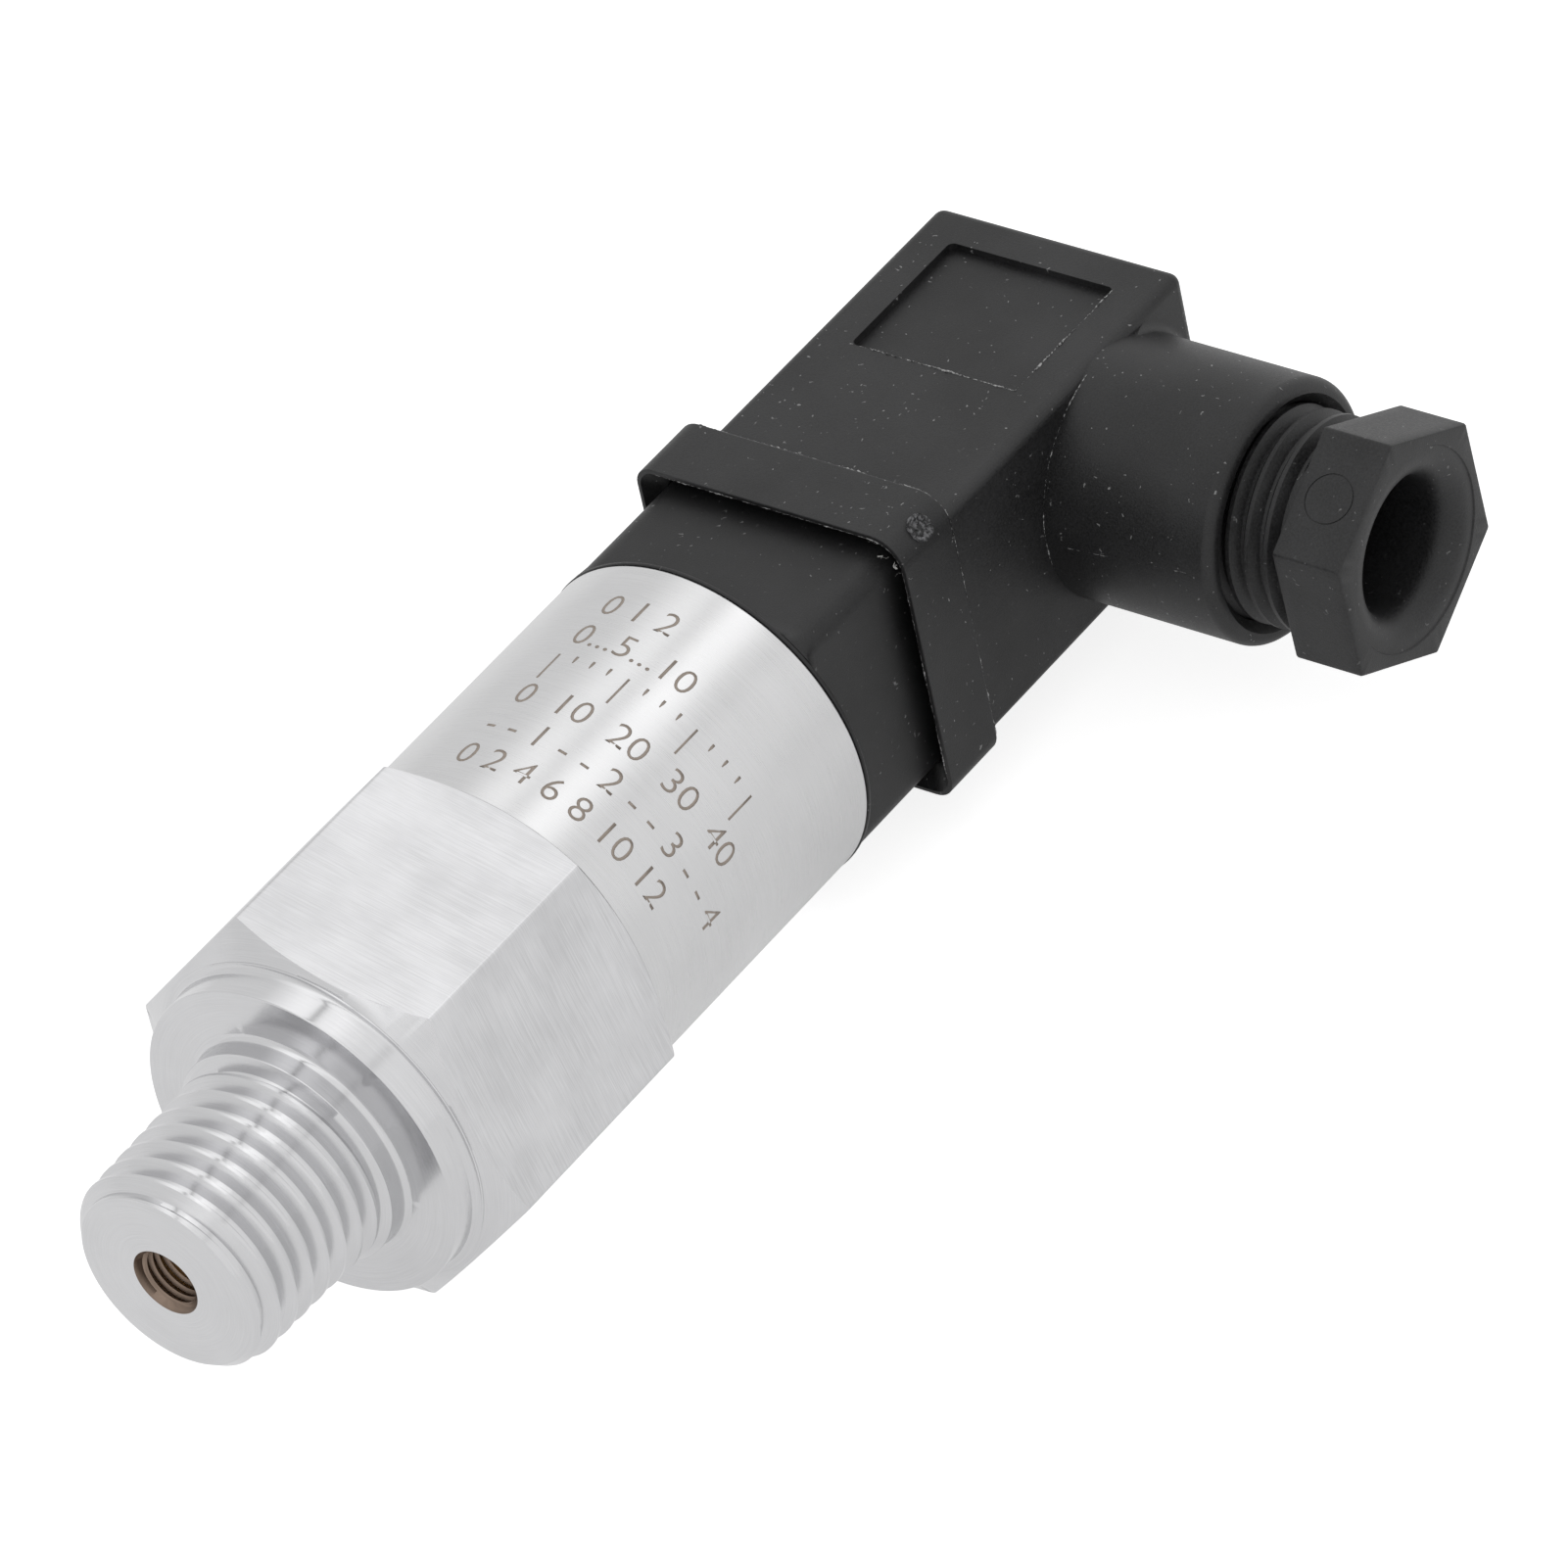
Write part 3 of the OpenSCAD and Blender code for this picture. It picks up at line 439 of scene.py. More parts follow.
class Finish(Wiring):
    """A node material being wired. Textures read object space in millimetres."""

    def __init__(self, name, colour, metallic=0.0, roughness=0.5, **settings):
        self.material = bpy.data.materials.new(name)
        self.material.use_nodes = True
        super().__init__(self.material.node_tree)
        self.shader = self.tree.nodes["Principled BSDF"]
        self.shader.inputs["Base Color"].default_value = (*colour, 1)
        self.shader.inputs["Metallic"].default_value = metallic
        self.shader.inputs["Roughness"].default_value = roughness
        for socket, value in settings.items():
            self.shader.inputs[socket.replace("_", " ")].default_value = value
        self.point = self.scaled(self.add("ShaderNodeTexCoord").outputs["Object"], (1 / MM, 1 / MM, 1 / MM))

    def scaled(self, vector, scale, shift=(0, 0, 0)):
        """The vector with each axis scaled and shifted."""
        node = self.add("ShaderNodeMapping", {"Vector": vector, "Scale": scale, "Location": shift})
        return node.outputs["Vector"]

    def noise(self, vector, scale, detail=3.0, roughness=0.55):
        """Fractal noise round one half."""
        node = self.add("ShaderNodeTexNoise", {"Vector": vector, "Scale": scale, "Detail": detail,
                                               "Roughness": roughness})
        return node.outputs["Fac"]

    def spots(self, vector, scale, size, jitter=1.0):
        """Small round specks: 1 in the middle of each, 0 between them."""
        node = self.add("ShaderNodeTexVoronoi", {"Vector": vector, "Scale": scale, "Randomness": jitter})
        return self.span(node.outputs["Distance"], size, size * 0.4, 0, 1)

    def blend(self, factor, first, second, kind="MIX"):
        """A mix of two colours."""
        node = self.add("ShaderNodeMix", {"Factor": factor, "A": first, "B": second}, data_type="RGBA",
                        blend_type=kind)
        return node.outputs["Result"]

    def tint(self, low, high, factor):
        """A colour that runs from low to high with the factor."""
        return self.blend(factor, (*low, 1), (*high, 1))

    def axis_parts(self):
        """The X, Y and Z of the point in millimetres."""
        return self.add("ShaderNodeSeparateXYZ", {"Vector": self.point}).outputs

    def lathe_lines(self, density, along=0.3, slope=1.7):
        """A vector whose noise runs in rings round the stud's axis, also on cones and end faces."""
        x, y, z = self.axis_parts()
        radius = self.math("SQRT", self.math("ADD", self.math("MULTIPLY", x, x), self.math("MULTIPLY", y, y)))
        level = self.math("MULTIPLY", self.math("ADD", z, self.math("MULTIPLY", radius, slope)), density)
        node = self.add("ShaderNodeCombineXYZ", {"X": self.math("MULTIPLY", x, along),
                                                 "Y": self.math("MULTIPLY", y, along), "Z": level})
        return node.outputs["Vector"]

    def feed(self, socket, value):
        """Links a varying value to one of the shader's sockets."""
        self.tree.links.new(value, self.shader.inputs[socket])

    def turned_gloss(self, amount):
        """Draws the gloss out along the axis, as rings left by a lathe do."""
        self.shader.inputs["Anisotropic"].default_value = amount
        self.shader.inputs["Anisotropic Rotation"].default_value = 0.25
        self.feed("Tangent", self.add("ShaderNodeTangent", direction_type="RADIAL", axis="Z").outputs[0])

    def bump(self, height, distance, strength=1.0):
        """Raises the surface by the height, as a distance in metres, on top of any bump before it."""
        before = self.shader.inputs["Normal"].links
        node = self.add("ShaderNodeBump", {"Height": height, "Distance": distance, "Strength": strength})
        if before:
            self.tree.links.new(before[0].from_socket, node.inputs["Normal"])
        self.feed("Normal", node.outputs["Normal"])


def scaled_colour(value, factor):
    """A colour made lighter or darker."""
    return tuple(min(1.0, part * factor) for part in value)


def turned_steel(name, colour, roughness, density=16.0, depth=0.0006, spread=0.05, gloss=0.5):
    """Bright steel from the lathe, with fine rings and cloudy patches."""
    finish = Finish(name, colour, metallic=1.0, roughness=roughness)
    lines = finish.noise(finish.lathe_lines(density), 1.0, detail=3, roughness=0.6)
    patches = finish.noise(finish.point, 0.25, detail=2)
    shade = finish.math("ADD", finish.math("MULTIPLY", lines, 0.7), finish.math("MULTIPLY", patches, 0.3))
    finish.feed("Base Color", finish.tint(scaled_colour(colour, 1 - spread), scaled_colour(colour, 1 + spread),
                                          finish.span(shade, 0.35, 0.65, 0, 1)))
    finish.feed("Roughness", finish.span(lines, 0.3, 0.7, roughness * 0.85, roughness * 1.15))
    finish.turned_gloss(gloss)
    finish.bump(lines, depth * MM)
    return finish.material


def brushed_steel(name, colour):
    """Steel flats brushed across, with fine straight lines, faint scratches and soft stains."""
    finish = Finish(name, colour, metallic=1.0, roughness=0.35)
    streaks = finish.noise(finish.scaled(finish.point, (0.35, 0.35, 25.0)), 1.0, detail=4, roughness=0.65)
    scratches = finish.noise(finish.scaled(finish.point, (1.1, 0.8, 30.0), (3, 5, 7)), 1.0, detail=2)
    patches = finish.noise(finish.point, 0.2, detail=3)
    shade = finish.math("ADD", finish.math("MULTIPLY", streaks, 0.65), finish.math("MULTIPLY", patches, 0.35))
    base = finish.tint(scaled_colour(colour, 0.89), scaled_colour(colour, 1.11),
                       finish.span(shade, 0.40, 0.60, 0, 1))
    finish.feed("Base Color", base)
    finish.feed("Roughness", finish.span(streaks, 0.3, 0.7, 0.30, 0.40))
    finish.turned_gloss(0.3)
    finish.bump(finish.math("ADD", streaks, finish.math("MULTIPLY", scratches, 0.5)), 0.0026 * MM)
    return finish.material


def moulded_plastic(name, colour, dust, grain=9.0):
    """Black glass-filled plastic with a fine grain, dust specks, lint and a few pale scuffs."""
    finish = Finish(name, colour, roughness=0.46, Specular_IOR_Level=0.4)
    fine = finish.noise(finish.point, grain, detail=4, roughness=0.65)
    cloud = finish.noise(finish.point, 0.16, detail=3)
    base = finish.tint(scaled_colour(colour, 0.5), scaled_colour(colour, 1.8),
                       finish.span(finish.math("ADD", finish.math("MULTIPLY", fine, 0.6),
                                               finish.math("MULTIPLY", cloud, 0.4)), 0.40, 0.60, 0, 1))
    warped = finish.add("ShaderNodeVectorMath", {0: finish.point, 1: finish.add(
        "ShaderNodeTexNoise", {"Vector": finish.point, "Scale": 1.6}).outputs["Color"]}).outputs[0]
    sparse = finish.span(finish.noise(finish.point, 0.35, detail=1), 0.44, 0.60, 0.06, dust)
    specks = finish.math("MULTIPLY", finish.spots(warped, 1.5, 0.13), sparse)
    crumbs = finish.math("MULTIPLY", finish.spots(finish.scaled(warped, (1, 1, 1), (4, 8, 1)), 0.6, 0.05), dust)
    lint = finish.math("MULTIPLY", finish.spots(finish.scaled(warped, (0.7, 0.2, 0.5), (9, 2, 4)), 1.0, 0.055),
                       dust)
    pale = finish.math("MAXIMUM", finish.math("MAXIMUM", specks, crumbs), lint)
    finish.feed("Base Color", finish.blend(pale, base, (0.5, 0.5, 0.5, 1)))
    finish.feed("Roughness", finish.span(fine, 0.3, 0.7, 0.36, 0.54))
    finish.bump(fine, 0.02 * MM, 0.8)
    return finish.material


def pale_flash(name, colour):
    """The pale frayed burr along a moulded edge."""
    finish = Finish(name, colour, roughness=0.7)
    fray = finish.noise(finish.point, 5.0, detail=3)
    finish.feed("Base Color", finish.tint(scaled_colour(colour, 0.12), scaled_colour(colour, 1.5),
                                          finish.span(fray, 0.42, 0.6, 0, 1)))
    finish.bump(fray, 0.02 * MM)
    return finish.material


def laser_mark(name, colour):
    """Burnt-in marks that let some of the steel shine through."""
    finish = Finish(name, colour, metallic=0.5, roughness=0.5)
    dots = finish.noise(finish.point, 14.0, detail=2)
    finish.feed("Base Color", finish.tint(scaled_colour(colour, 0.75), scaled_colour(colour, 1.35), dots))
    finish.bump(dots, 0.003 * MM)
    return finish.material


def grained(name, colour, metallic=0.0, roughness=0.5, scale=3.0, spread=0.2, depth=0.01, stretch=(1, 1, 1),
            **settings):
    """A plain finish with its own grain and clouding."""
    finish = Finish(name, colour, metallic=metallic, roughness=roughness, **settings)
    grain = finish.noise(finish.scaled(finish.point, stretch), scale, detail=4, roughness=0.65)
    cloud = finish.noise(finish.point, scale * 0.12, detail=2)
    shade = finish.math("ADD", finish.math("MULTIPLY", grain, 0.55), finish.math("MULTIPLY", cloud, 0.45))
    finish.feed("Base Color", finish.tint(scaled_colour(colour, 1 - spread), scaled_colour(colour, 1 + spread),
                                          finish.span(shade, 0.36, 0.64, 0, 1)))
    finish.feed("Roughness", finish.span(grain, 0.3, 0.7, max(0.05, roughness - 0.1), min(1, roughness + 0.1)))
    finish.bump(grain, depth * MM)
    return finish.material


def solder_mask(name):
    """Green board finish with copper tracks just showing through."""
    finish = Finish(name, (0.02, 0.14, 0.06), roughness=0.32, Coat_Weight=0.4)
    x, y, z = finish.axis_parts()
    tracks = finish.add("ShaderNodeTexVoronoi", {"Vector": finish.scaled(finish.point, (1, 1, 0)), "Scale": 0.35},
                        distance="MANHATTAN", feature="DISTANCE_TO_EDGE").outputs["Distance"]
    line = finish.span(tracks, 0.05, 0.09, 1, 0)
    weave = finish.noise(finish.scaled(finish.point, (5, 0.6, 5)), 2.0)
    mask = finish.tint((0.012, 0.10, 0.045), (0.03, 0.17, 0.07), weave)
    finish.feed("Base Color", finish.blend(line, mask, (0.05, 0.26, 0.10, 1)))
    finish.bump(line, 0.03 * MM)
    return finish.material


# Pieces

class TRANSMITTER_OT_fitting(Operator):
    """Add the stud with its thread, the collar, the hexagon and the port, as one turned piece"""
    bl_idname = "transmitter.add_fitting"
    bl_label = "Process fitting"

    def execute(self, context):
        size = context.scene.fitting_sizes
        colours = context.scene.finish_colours
        steel = turned_steel("fitting_turned", colours.steel, 0.16)
        flats = brushed_steel("fitting_flats", colours.steel)
        threaded = turned_steel("fitting_thread", colours.steel, 0.19, gloss=0.75)
        # Painted shade: the port's bore gets a dark brownish steel colour that stands in for the shade inside the port
        bore_painted_shade = turned_steel("port_bore_painted_shade", (0.22, 0.165, 0.13), 0.38, spread=0.3, gloss=0)

        hexagon = hexagon_ring(size.across, size.corner, size.twist, size.columns)
        unit = directions(hexagon)
        reach = np.hypot(hexagon[:, 0], hexagon[:, 1])
        slope = tan(size.chamfer)
        tip, neck = FITTING_LOW.z, COLLAR_FACE - size.neck_height
        foot = COLLAR_FACE + size.collar_height
        head = SLEEVE_LOW.z
        pocket = CELL_LOW.z - 0.02 * MM
        pocket_radius = RETAINER_HIGH.x + 0.05 * MM
        spigot = SLEEVE_HIGH.x - context.scene.sleeve_sizes.wall - 0.02 * MM
        fine = 0.05 * MM

        def stud(profile, height):
            crest = size.crest - size.taper * (neck - height) / (neck - tip)
            cone = size.crest - size.taper - size.tip * 0.8 + (height - tip) * 0.9
            run_out = np.clip((height - neck + size.pitch * 0.5) / (size.pitch * 0.5), 0, 1)
            root = crest - size.depth * (1 - 0.55 * run_out)
            return np.minimum(root + (crest - root) * profile, cone)

        def port(profile, height):
            return size.port + size.port_thread * (1 - profile)

        inner_end = tip + size.port_depth
        rows = [(unit * (size.crest - size.taper - size.tip * 0.8 - 0.15 * MM), tip)]
        marks = [0]
        stud_rows = thread_rows(unit, tip + fine, neck - 0.25 * MM, size.pitch, stud)
        rows += stud_rows
        marks += [2] * len(stud_rows)
        turned = softened([
            (size.neck - 0.3 * MM, neck - 0.2 * MM, 0), (size.neck, neck + 0.1 * MM, 0.08 * MM),
            (size.neck, COLLAR_FACE, size.fillet * 0.99),
            (size.collar, COLLAR_FACE, 0.12 * MM), (size.collar, foot, size.root),
            (size.front - 0.05 * MM, foot, 0), (size.neck, foot, 0)])[1:-2]
        rows += [(unit * point.x, point.y) for point in turned]
        marks += [0] * len(turned)
        front_edge = foot + (reach - size.front) * slope
        rear_edge = head - (reach - SLEEVE_HIGH.x) * slope
        rows += [(unit * (size.front - 0.04 * MM), foot + fine), (unit * size.front, foot + fine)]
        rows.append((hexagon * (1 - fine / reach)[:, None], front_edge))
        marks += [0, 0, 0]
        bands = 8
        for k in range(bands):
            rows.append((hexagon, front_edge + fine + (rear_edge - front_edge - 2 * fine) * k / bands))
        marks += [1] * bands
        rows += [(hexagon, rear_edge - fine), (hexagon * (1 - fine / reach)[:, None], rear_edge + fine * slope)]
        marks += [0, 0]
        inside = softened([
            (SLEEVE_HIGH.x - 0.02 * MM, head - 0.02 * MM, 0), (spigot, head - 0.02 * MM, 0),
            (spigot, FITTING_HIGH.z, 0.2 * MM), (pocket_radius, FITTING_HIGH.z, 0.2 * MM),
            (pocket_radius, pocket, 0.1 * MM), (8.5 * MM, pocket, 0), (8.5 * MM, pocket - 1.5 * MM, 0),
            (6.5 * MM, pocket - 1.5 * MM, 0), (6.5 * MM, pocket, 0), (size.duct, pocket, 0.1 * MM),
            (size.duct, inner_end, 0), (size.port, inner_end, 0)])
        rows += [(unit * point.x, point.y) for point in inside]
        marks += [0] * len(inside)
        # The port's threaded bore takes the finish with the painted shade
        bore_rows = thread_rows(unit, tip + size.port_chamfer, inner_end - fine, size.port_pitch, port)[::-1]
        rows += bore_rows + [(unit * (size.port + size.port_chamfer), tip)]
        marks += [3] * len(bore_rows) + [0]
        piece = spun("fitting_body", rows, marks, loop=True)
        place(piece, "base", "steel", [steel, flats, threaded, bore_painted_shade], "process_fitting", sharp=28)
        return {"FINISHED"}


class TRANSMITTER_OT_sleeve(Operator):
    """Add the turned sleeve of the housing"""
    bl_idname = "transmitter.add_sleeve"
    bl_label = "Housing sleeve"

    def execute(self, context):
        size = context.scene.sleeve_sizes
        outer, inner = SLEEVE_HIGH.x, SLEEVE_HIGH.x - size.wall
        low, high = SLEEVE_LOW.z, SLEEVE_HIGH.z
        rows = turned_rows(round_ring(256), [
            (inner, low, size.edge / 3), (outer, low, size.edge / 3), (outer, high, size.edge),
            (inner, high, size.edge)])
        piece = spun("sleeve_tube", rows, loop=True)
        finish = turned_steel("sleeve_turned", context.scene.finish_colours.sleeve, 0.3, density=20.0)
        place(piece, "base", "sleeve_steel", [finish], "housing_sleeve")
        return {"FINISHED"}


class TRANSMITTER_OT_marks(Operator):
    """Add rows of plain scale numbers and ticks, marked on the sleeve"""
    bl_idname = "transmitter.add_marks"
    bl_label = "Scale marks"

    ROWS = ("0 1 2", "0...5...10", "| ' ' ' | ' ' ' | ' ' ' |", "0  10  20  30  40",
            "- - 1 - - 2 - - 3 - - 4", "0 2 4 6 8 10 12")

    def execute(self, context):
        size = context.scene.sleeve_sizes
        radius = SLEEVE_HIGH.x + 0.008 * MM
        finish = laser_mark("sleeve_marks", context.scene.finish_colours.mark)
        vertices, faces = [], []
        for number, words in enumerate(self.ROWS):
            curve = bpy.data.curves.new("row", "FONT")
            curve.body = words
            curve.size = size.mark_height / 0.70
            curve.offset = -0.025 * MM
            curve.resolution_u = 4
            text = bpy.data.objects.new("row", curve)
            context.scene.collection.objects.link(text)
            graph = context.evaluated_depsgraph_get()
            mesh = bpy.data.meshes.new_from_object(text.evaluated_get(graph))
            foot = SLEEVE_HIGH.z - size.mark_top - number * size.mark_pitch
            start = len(vertices)
            for vertex in mesh.vertices:
                bearing = size.mark_turn + vertex.co.x / radius
                vertices.append((radius * cos(bearing), radius * sin(bearing), foot + vertex.co.y))
            faces += [tuple(start + i for i in face.vertices) for face in mesh.polygons]
            bpy.data.objects.remove(text)
            bpy.data.curves.remove(curve)
        piece = finished("sleeve_scale", vertices, faces, merge=1e-8)
        place(piece, "base", "sleeve_steel", [finish])
        solid = piece.modifiers.new("thickness", "SOLIDIFY")
        solid.thickness = 0.01 * MM
        solid.offset = -1
        return {"FINISHED"}


class TRANSMITTER_OT_plug_base(Operator):
    """Add the moulded base: a barrel in the sleeve, a disc on its rim and the square pedestal"""
    bl_idname = "transmitter.add_plug_base"
    bl_label = "Plug base"

    def execute(self, context):
        size = context.scene.plug_sizes
        colours = context.scene.finish_colours
        square = square_ring(size.pedestal, size.pedestal_corner)
        unit = directions(square)
        rim, disc_top = SLEEVE_HIGH.z, SLEEVE_HIGH.z + size.disc
        floor = SLEEVE_HIGH.z - 5.0 * MM
        low, high = BASE_LOW.z, BASE_HIGH.z
        groove_low, groove_high = rim - 3.3 * MM, rim - 1.7 * MM
        edge = 0.25 * MM
        section = softened([
            (0, floor, 0), (size.barrel - size.barrel_wall, floor, 0.3 * MM),
            (size.barrel - size.barrel_wall, low, 0.1 * MM), (size.barrel, low, 0.2 * MM),
            (size.barrel, groove_low, 0), (size.barrel - 1.1 * MM, groove_low, 0),
            (size.barrel - 1.1 * MM, groove_high, 0), (size.barrel, groove_high, 0),
            (size.barrel, rim + 0.02 * MM, 0), (BASE_HIGH.x, rim + 0.02 * MM, 0.08 * MM),
            (BASE_HIGH.x, disc_top, 0.12 * MM), (0, disc_top, 0)])[:-1]
        rows = [(unit * point.x, point.y) for point in section]
        # The hollow foot of the pedestal keeps to the disc at the square's corners
        for grow, lift in ((0.55, 0.0), (0.3, 0.1), (0.12, 0.35), (0.03, 0.8), (0.0, 1.3)):
            ring = square * (1 + 2 * grow * MM / size.pedestal)
            held = np.minimum(1, (BASE_HIGH.x - 0.03 * MM) / np.hypot(ring[:, 0], ring[:, 1]))
            rows.append((ring * held[:, None], disc_top + lift * MM))
        for k in range(6):
            swing = k / 5 * pi / 2
            inset = edge * (1 - cos(swing))
            rows.append((square_ring(size.pedestal - 2 * inset, size.pedestal_corner - inset),
                         high - edge + edge * sin(swing)))
        rows.append((unit * 0, high))
        piece = spun("base_moulding", rows)
        tools = [spun("tool", turned_rows(round_ring(48), [
            (0, high - 6.0 * MM, 0), (2.3 * MM, high - 6.0 * MM, 0), (2.3 * MM, high + MM, 0), (0, high + MM, 0)]),
            loop=True)]
        for name in ("contact_pin_1", "contact_pin_2", "contact_pin_3", "earth_pin"):
            low_corner, high_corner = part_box(name)
            tools.append(block("tool", Vector(low_corner) - Vector((0.02, 0.02, 1)) * MM,
                               Vector(high_corner) + Vector((0.02, 0.02, 1)) * MM))
        carve(piece, tools)
        finish = moulded_plastic("base_plastic", scaled_colour(colours.plastic, 0.8), colours.dust * 0.6)
        place(piece, "base", "black_plastic", [finish], "plug_base")
        return {"FINISHED"}


class TRANSMITTER_OT_plug_housing(Operator):
    """Add the moulded plug housing: skirt, hollow tower and cable boss, with its sunk panel"""
    bl_idname = "transmitter.add_plug_housing"
    bl_label = "Plug housing"

    def execute(self, context):
        size = context.scene.plug_sizes
        colours = context.scene.finish_colours
        low, top = HOUSING_LOW.z, HOUSING_HIGH.z
        shoulder = low + size.skirt_height
        seat = low + size.seat
        half = size.tower / 2
        tower_side = half + size.tower_shift
        over = 0.5 * MM
        edge = 0.22 * MM

        def skirt_ring(inset):
            return square_ring(2 * (HOUSING_HIGH.y - inset), size.skirt_corner - inset / 2,
                               size.skirt_front_corner - inset / 2)

        rows = [(skirt_ring(0) * 0, low)]
        for k in range(4):
            swing = k / 3 * pi / 2
            rows.append((skirt_ring(0.06 * MM * (1 - sin(swing))), low + 0.06 * MM * (1 - cos(swing))))
        for k in range(6):
            swing = k / 5 * pi / 2
            rows.append((skirt_ring(edge * (1 - cos(swing))), shoulder - edge + edge * sin(swing)))
        rows.append((skirt_ring(0) * 0, shoulder))
        housing = spun("plug_moulding", rows)
        tower = block("tool", (-half, -half, seat + 0.5 * MM), (tower_side, half, top), size.tower_edge, steps=6)
        fillet = size.boss_fillet
        boss = along_cable(spun("tool", turned_rows(round_ring(192), [
            (0, half - MM, 0), (size.boss, half - MM, 0), (size.boss, HOUSING_HIGH.x, size.boss_edge),
            (0, HOUSING_HIGH.x, 0)], steps=8), loop=True))
        flare = along_cable(spun("tool", turned_rows(round_ring(192), [
            (size.boss - 1.5 * MM, tower_side - over, 0), (size.boss + fillet * 0.98, tower_side - over, 0),
            (size.boss + fillet * 0.98, tower_side, 0),
            (size.boss - 0.02 * MM, tower_side, fillet * 0.9), (size.boss - 0.02 * MM, tower_side + 3 * fillet, 0),
            (size.boss - 1.5 * MM, tower_side + 3 * fillet, 0)], steps=8), loop=True))
        room = block("tool", (tower_side - MM, -half + size.tower_edge, OUTLET_HEIGHT),
                     (tower_side + 4 * MM, half - size.tower_edge, top - size.tower_edge))
        carve(flare, [room], "INTERSECT")
        carve(housing, [tower, boss, flare], "UNION")

        bore_side = size.pedestal + 0.2 * MM
        bore_corner = size.pedestal_corner + 0.1 * MM
        mouth = skirt_ring(size.skirt_rim)
        bore = square_ring(bore_side, bore_corner)
        opening = spun("tool", [(mouth * 0, low - over), (mouth, low - over), (mouth, low),
                                (bore, low + size.bevel), (bore, seat), (bore * 0, seat)])
        ring = square_ring(size.chamber, 0.95 * MM)
        chamber = spun("tool", [(ring * 0, seat - over), (ring, seat - over), (ring, top - size.roof),
                                (ring * 0, top - size.roof)])
        unit = round_ring(72)
        head_seat = SCREW_HIGH.z - 2.6 * MM
        screw_way = spun("tool", turned_rows(unit, [
            (0, top - size.roof - over, 0), (1.7 * MM, top - size.roof - over, 0), (1.7 * MM, head_seat, 0),
            (2.95 * MM, head_seat, 0), (2.95 * MM, top - 0.15 * MM, 0), (3.6 * MM, top + over, 0),
            (0, top + over, 0)]), loop=True)
        bore_rows = [(unit * 0, size.chamber / 2 - over), (unit * size.passage, size.chamber / 2 - over),
                     (unit * size.passage, GROMMET_LOW.x), (unit * size.boss_bore, GROMMET_LOW.x),
                     (unit * size.boss_bore, HOUSING_HIGH.x - 0.6 * MM),
                     (unit * (size.boss_bore + 0.6 * MM), HOUSING_HIGH.x),
                     (unit * (size.boss_bore + 0.6 * MM), HOUSING_HIGH.x + over), (unit * 0, HOUSING_HIGH.x + over)]
        cable_way = along_cable(spun("tool", bore_rows))
        panel_x = size.tower_shift / 2
        panel_z = top - size.panel_drop - size.panel_height / 2
        corners = [(panel_x - size.panel_width / 2, panel_z - size.panel_height / 2),
                   (panel_x + size.panel_width / 2, panel_z - size.panel_height / 2),
                   (panel_x + size.panel_width / 2, panel_z + size.panel_height / 2),
                   (panel_x - size.panel_width / 2, panel_z + size.panel_height / 2)]
        outline = softened([(x, z, 0.4 * MM) for x, z in corners])
        count = len(outline)
        floor_y = -half + size.panel_depth
        points = [(p.x, floor_y, p.y) for p in outline] + [(p.x, -half - MM, p.y) for p in outline]
        faces = [tuple(range(count)), tuple(range(2 * count - 1, count - 1, -1))]
        faces += [(i, (i + 1) % count, count + (i + 1) % count, count + i) for i in range(count)]
        panel = finished("tool", points, faces)
        carve(housing, [opening, chamber, screw_way, cable_way, panel])

        finish = moulded_plastic("housing_plastic", colours.plastic, colours.dust)
        place(housing, "plug", "black_plastic", [finish], "plug_housing", sharp=30)
        self.add_gate_mark(size, low + 2.4 * MM)
        self.add_flash(context, low, shoulder - edge * 0.3, half, tower_side, corners)
        return {"FINISHED"}

    def add_gate_mark(self, size, height):
        """The torn stub of the mould's gate, on the skirt's rounded front corner."""
        finish = pale_flash("torn_plastic", (0.14, 0.14, 0.145))
        stub = size.gate
        piece = spun("gate_mark", turned_rows(round_ring(40), [
            (0, -0.6 * MM, 0), (stub, -0.6 * MM, 0), (stub, 0.12 * MM, 0.05 * MM), (stub * 0.72, 0.12 * MM, 0),
            (stub * 0.6, -0.03 * MM, 0), (stub * 0.35, 0.04 * MM, 0), (0, -0.03 * MM, 0)]), loop=True)
        random = np.random.default_rng(7)
        for vertex in piece.data.vertices:
            if vertex.co.z > -0.2 * MM:
                vertex.co += Vector(random.normal(0, 0.03, 3)) * MM
        bearing = radians(-40)
        reach = HOUSING_HIGH.y - size.skirt_front_corner
        outward = Vector((cos(bearing), sin(bearing), 0))
        spot = Vector((reach, -reach, height)) + outward * size.skirt_front_corner
        piece.data.transform(Matrix.Translation(spot) @ outward.to_track_quat("Z", "X").to_matrix().to_4x4())
        place(piece, "plug", "black_plastic", [finish])

    def add_flash(self, context, low, shoulder, half, tower_side, panel):
        """Pale burrs along the mould's edges, thinning out and broken at random places."""
        size = context.scene.plug_sizes
        finish = pale_flash("moulding_flash", context.scene.finish_colours.flash)
        panel_path = [Vector((x, -half, z)) for x, z in (panel[2], panel[1], panel[0])]

        def round_skirt(inset, height):
            side = HOUSING_HIGH.y - inset
            corner = size.skirt_front_corner - inset / 2
            path = [Vector((-side + size.skirt_corner, -side, height))]
            for k in range(10):
                swing = radians(-90 + k * 10)
                path.append(Vector((side - corner + corner * cos(swing), corner - side + corner * sin(swing), height)))
            return path + [Vector((side, side - size.skirt_corner, height))]

        def on_boss(degrees, along):
            swing = radians(degrees)
            return Vector((along, -size.boss * cos(swing), OUTLET_HEIGHT + size.boss * sin(swing)))

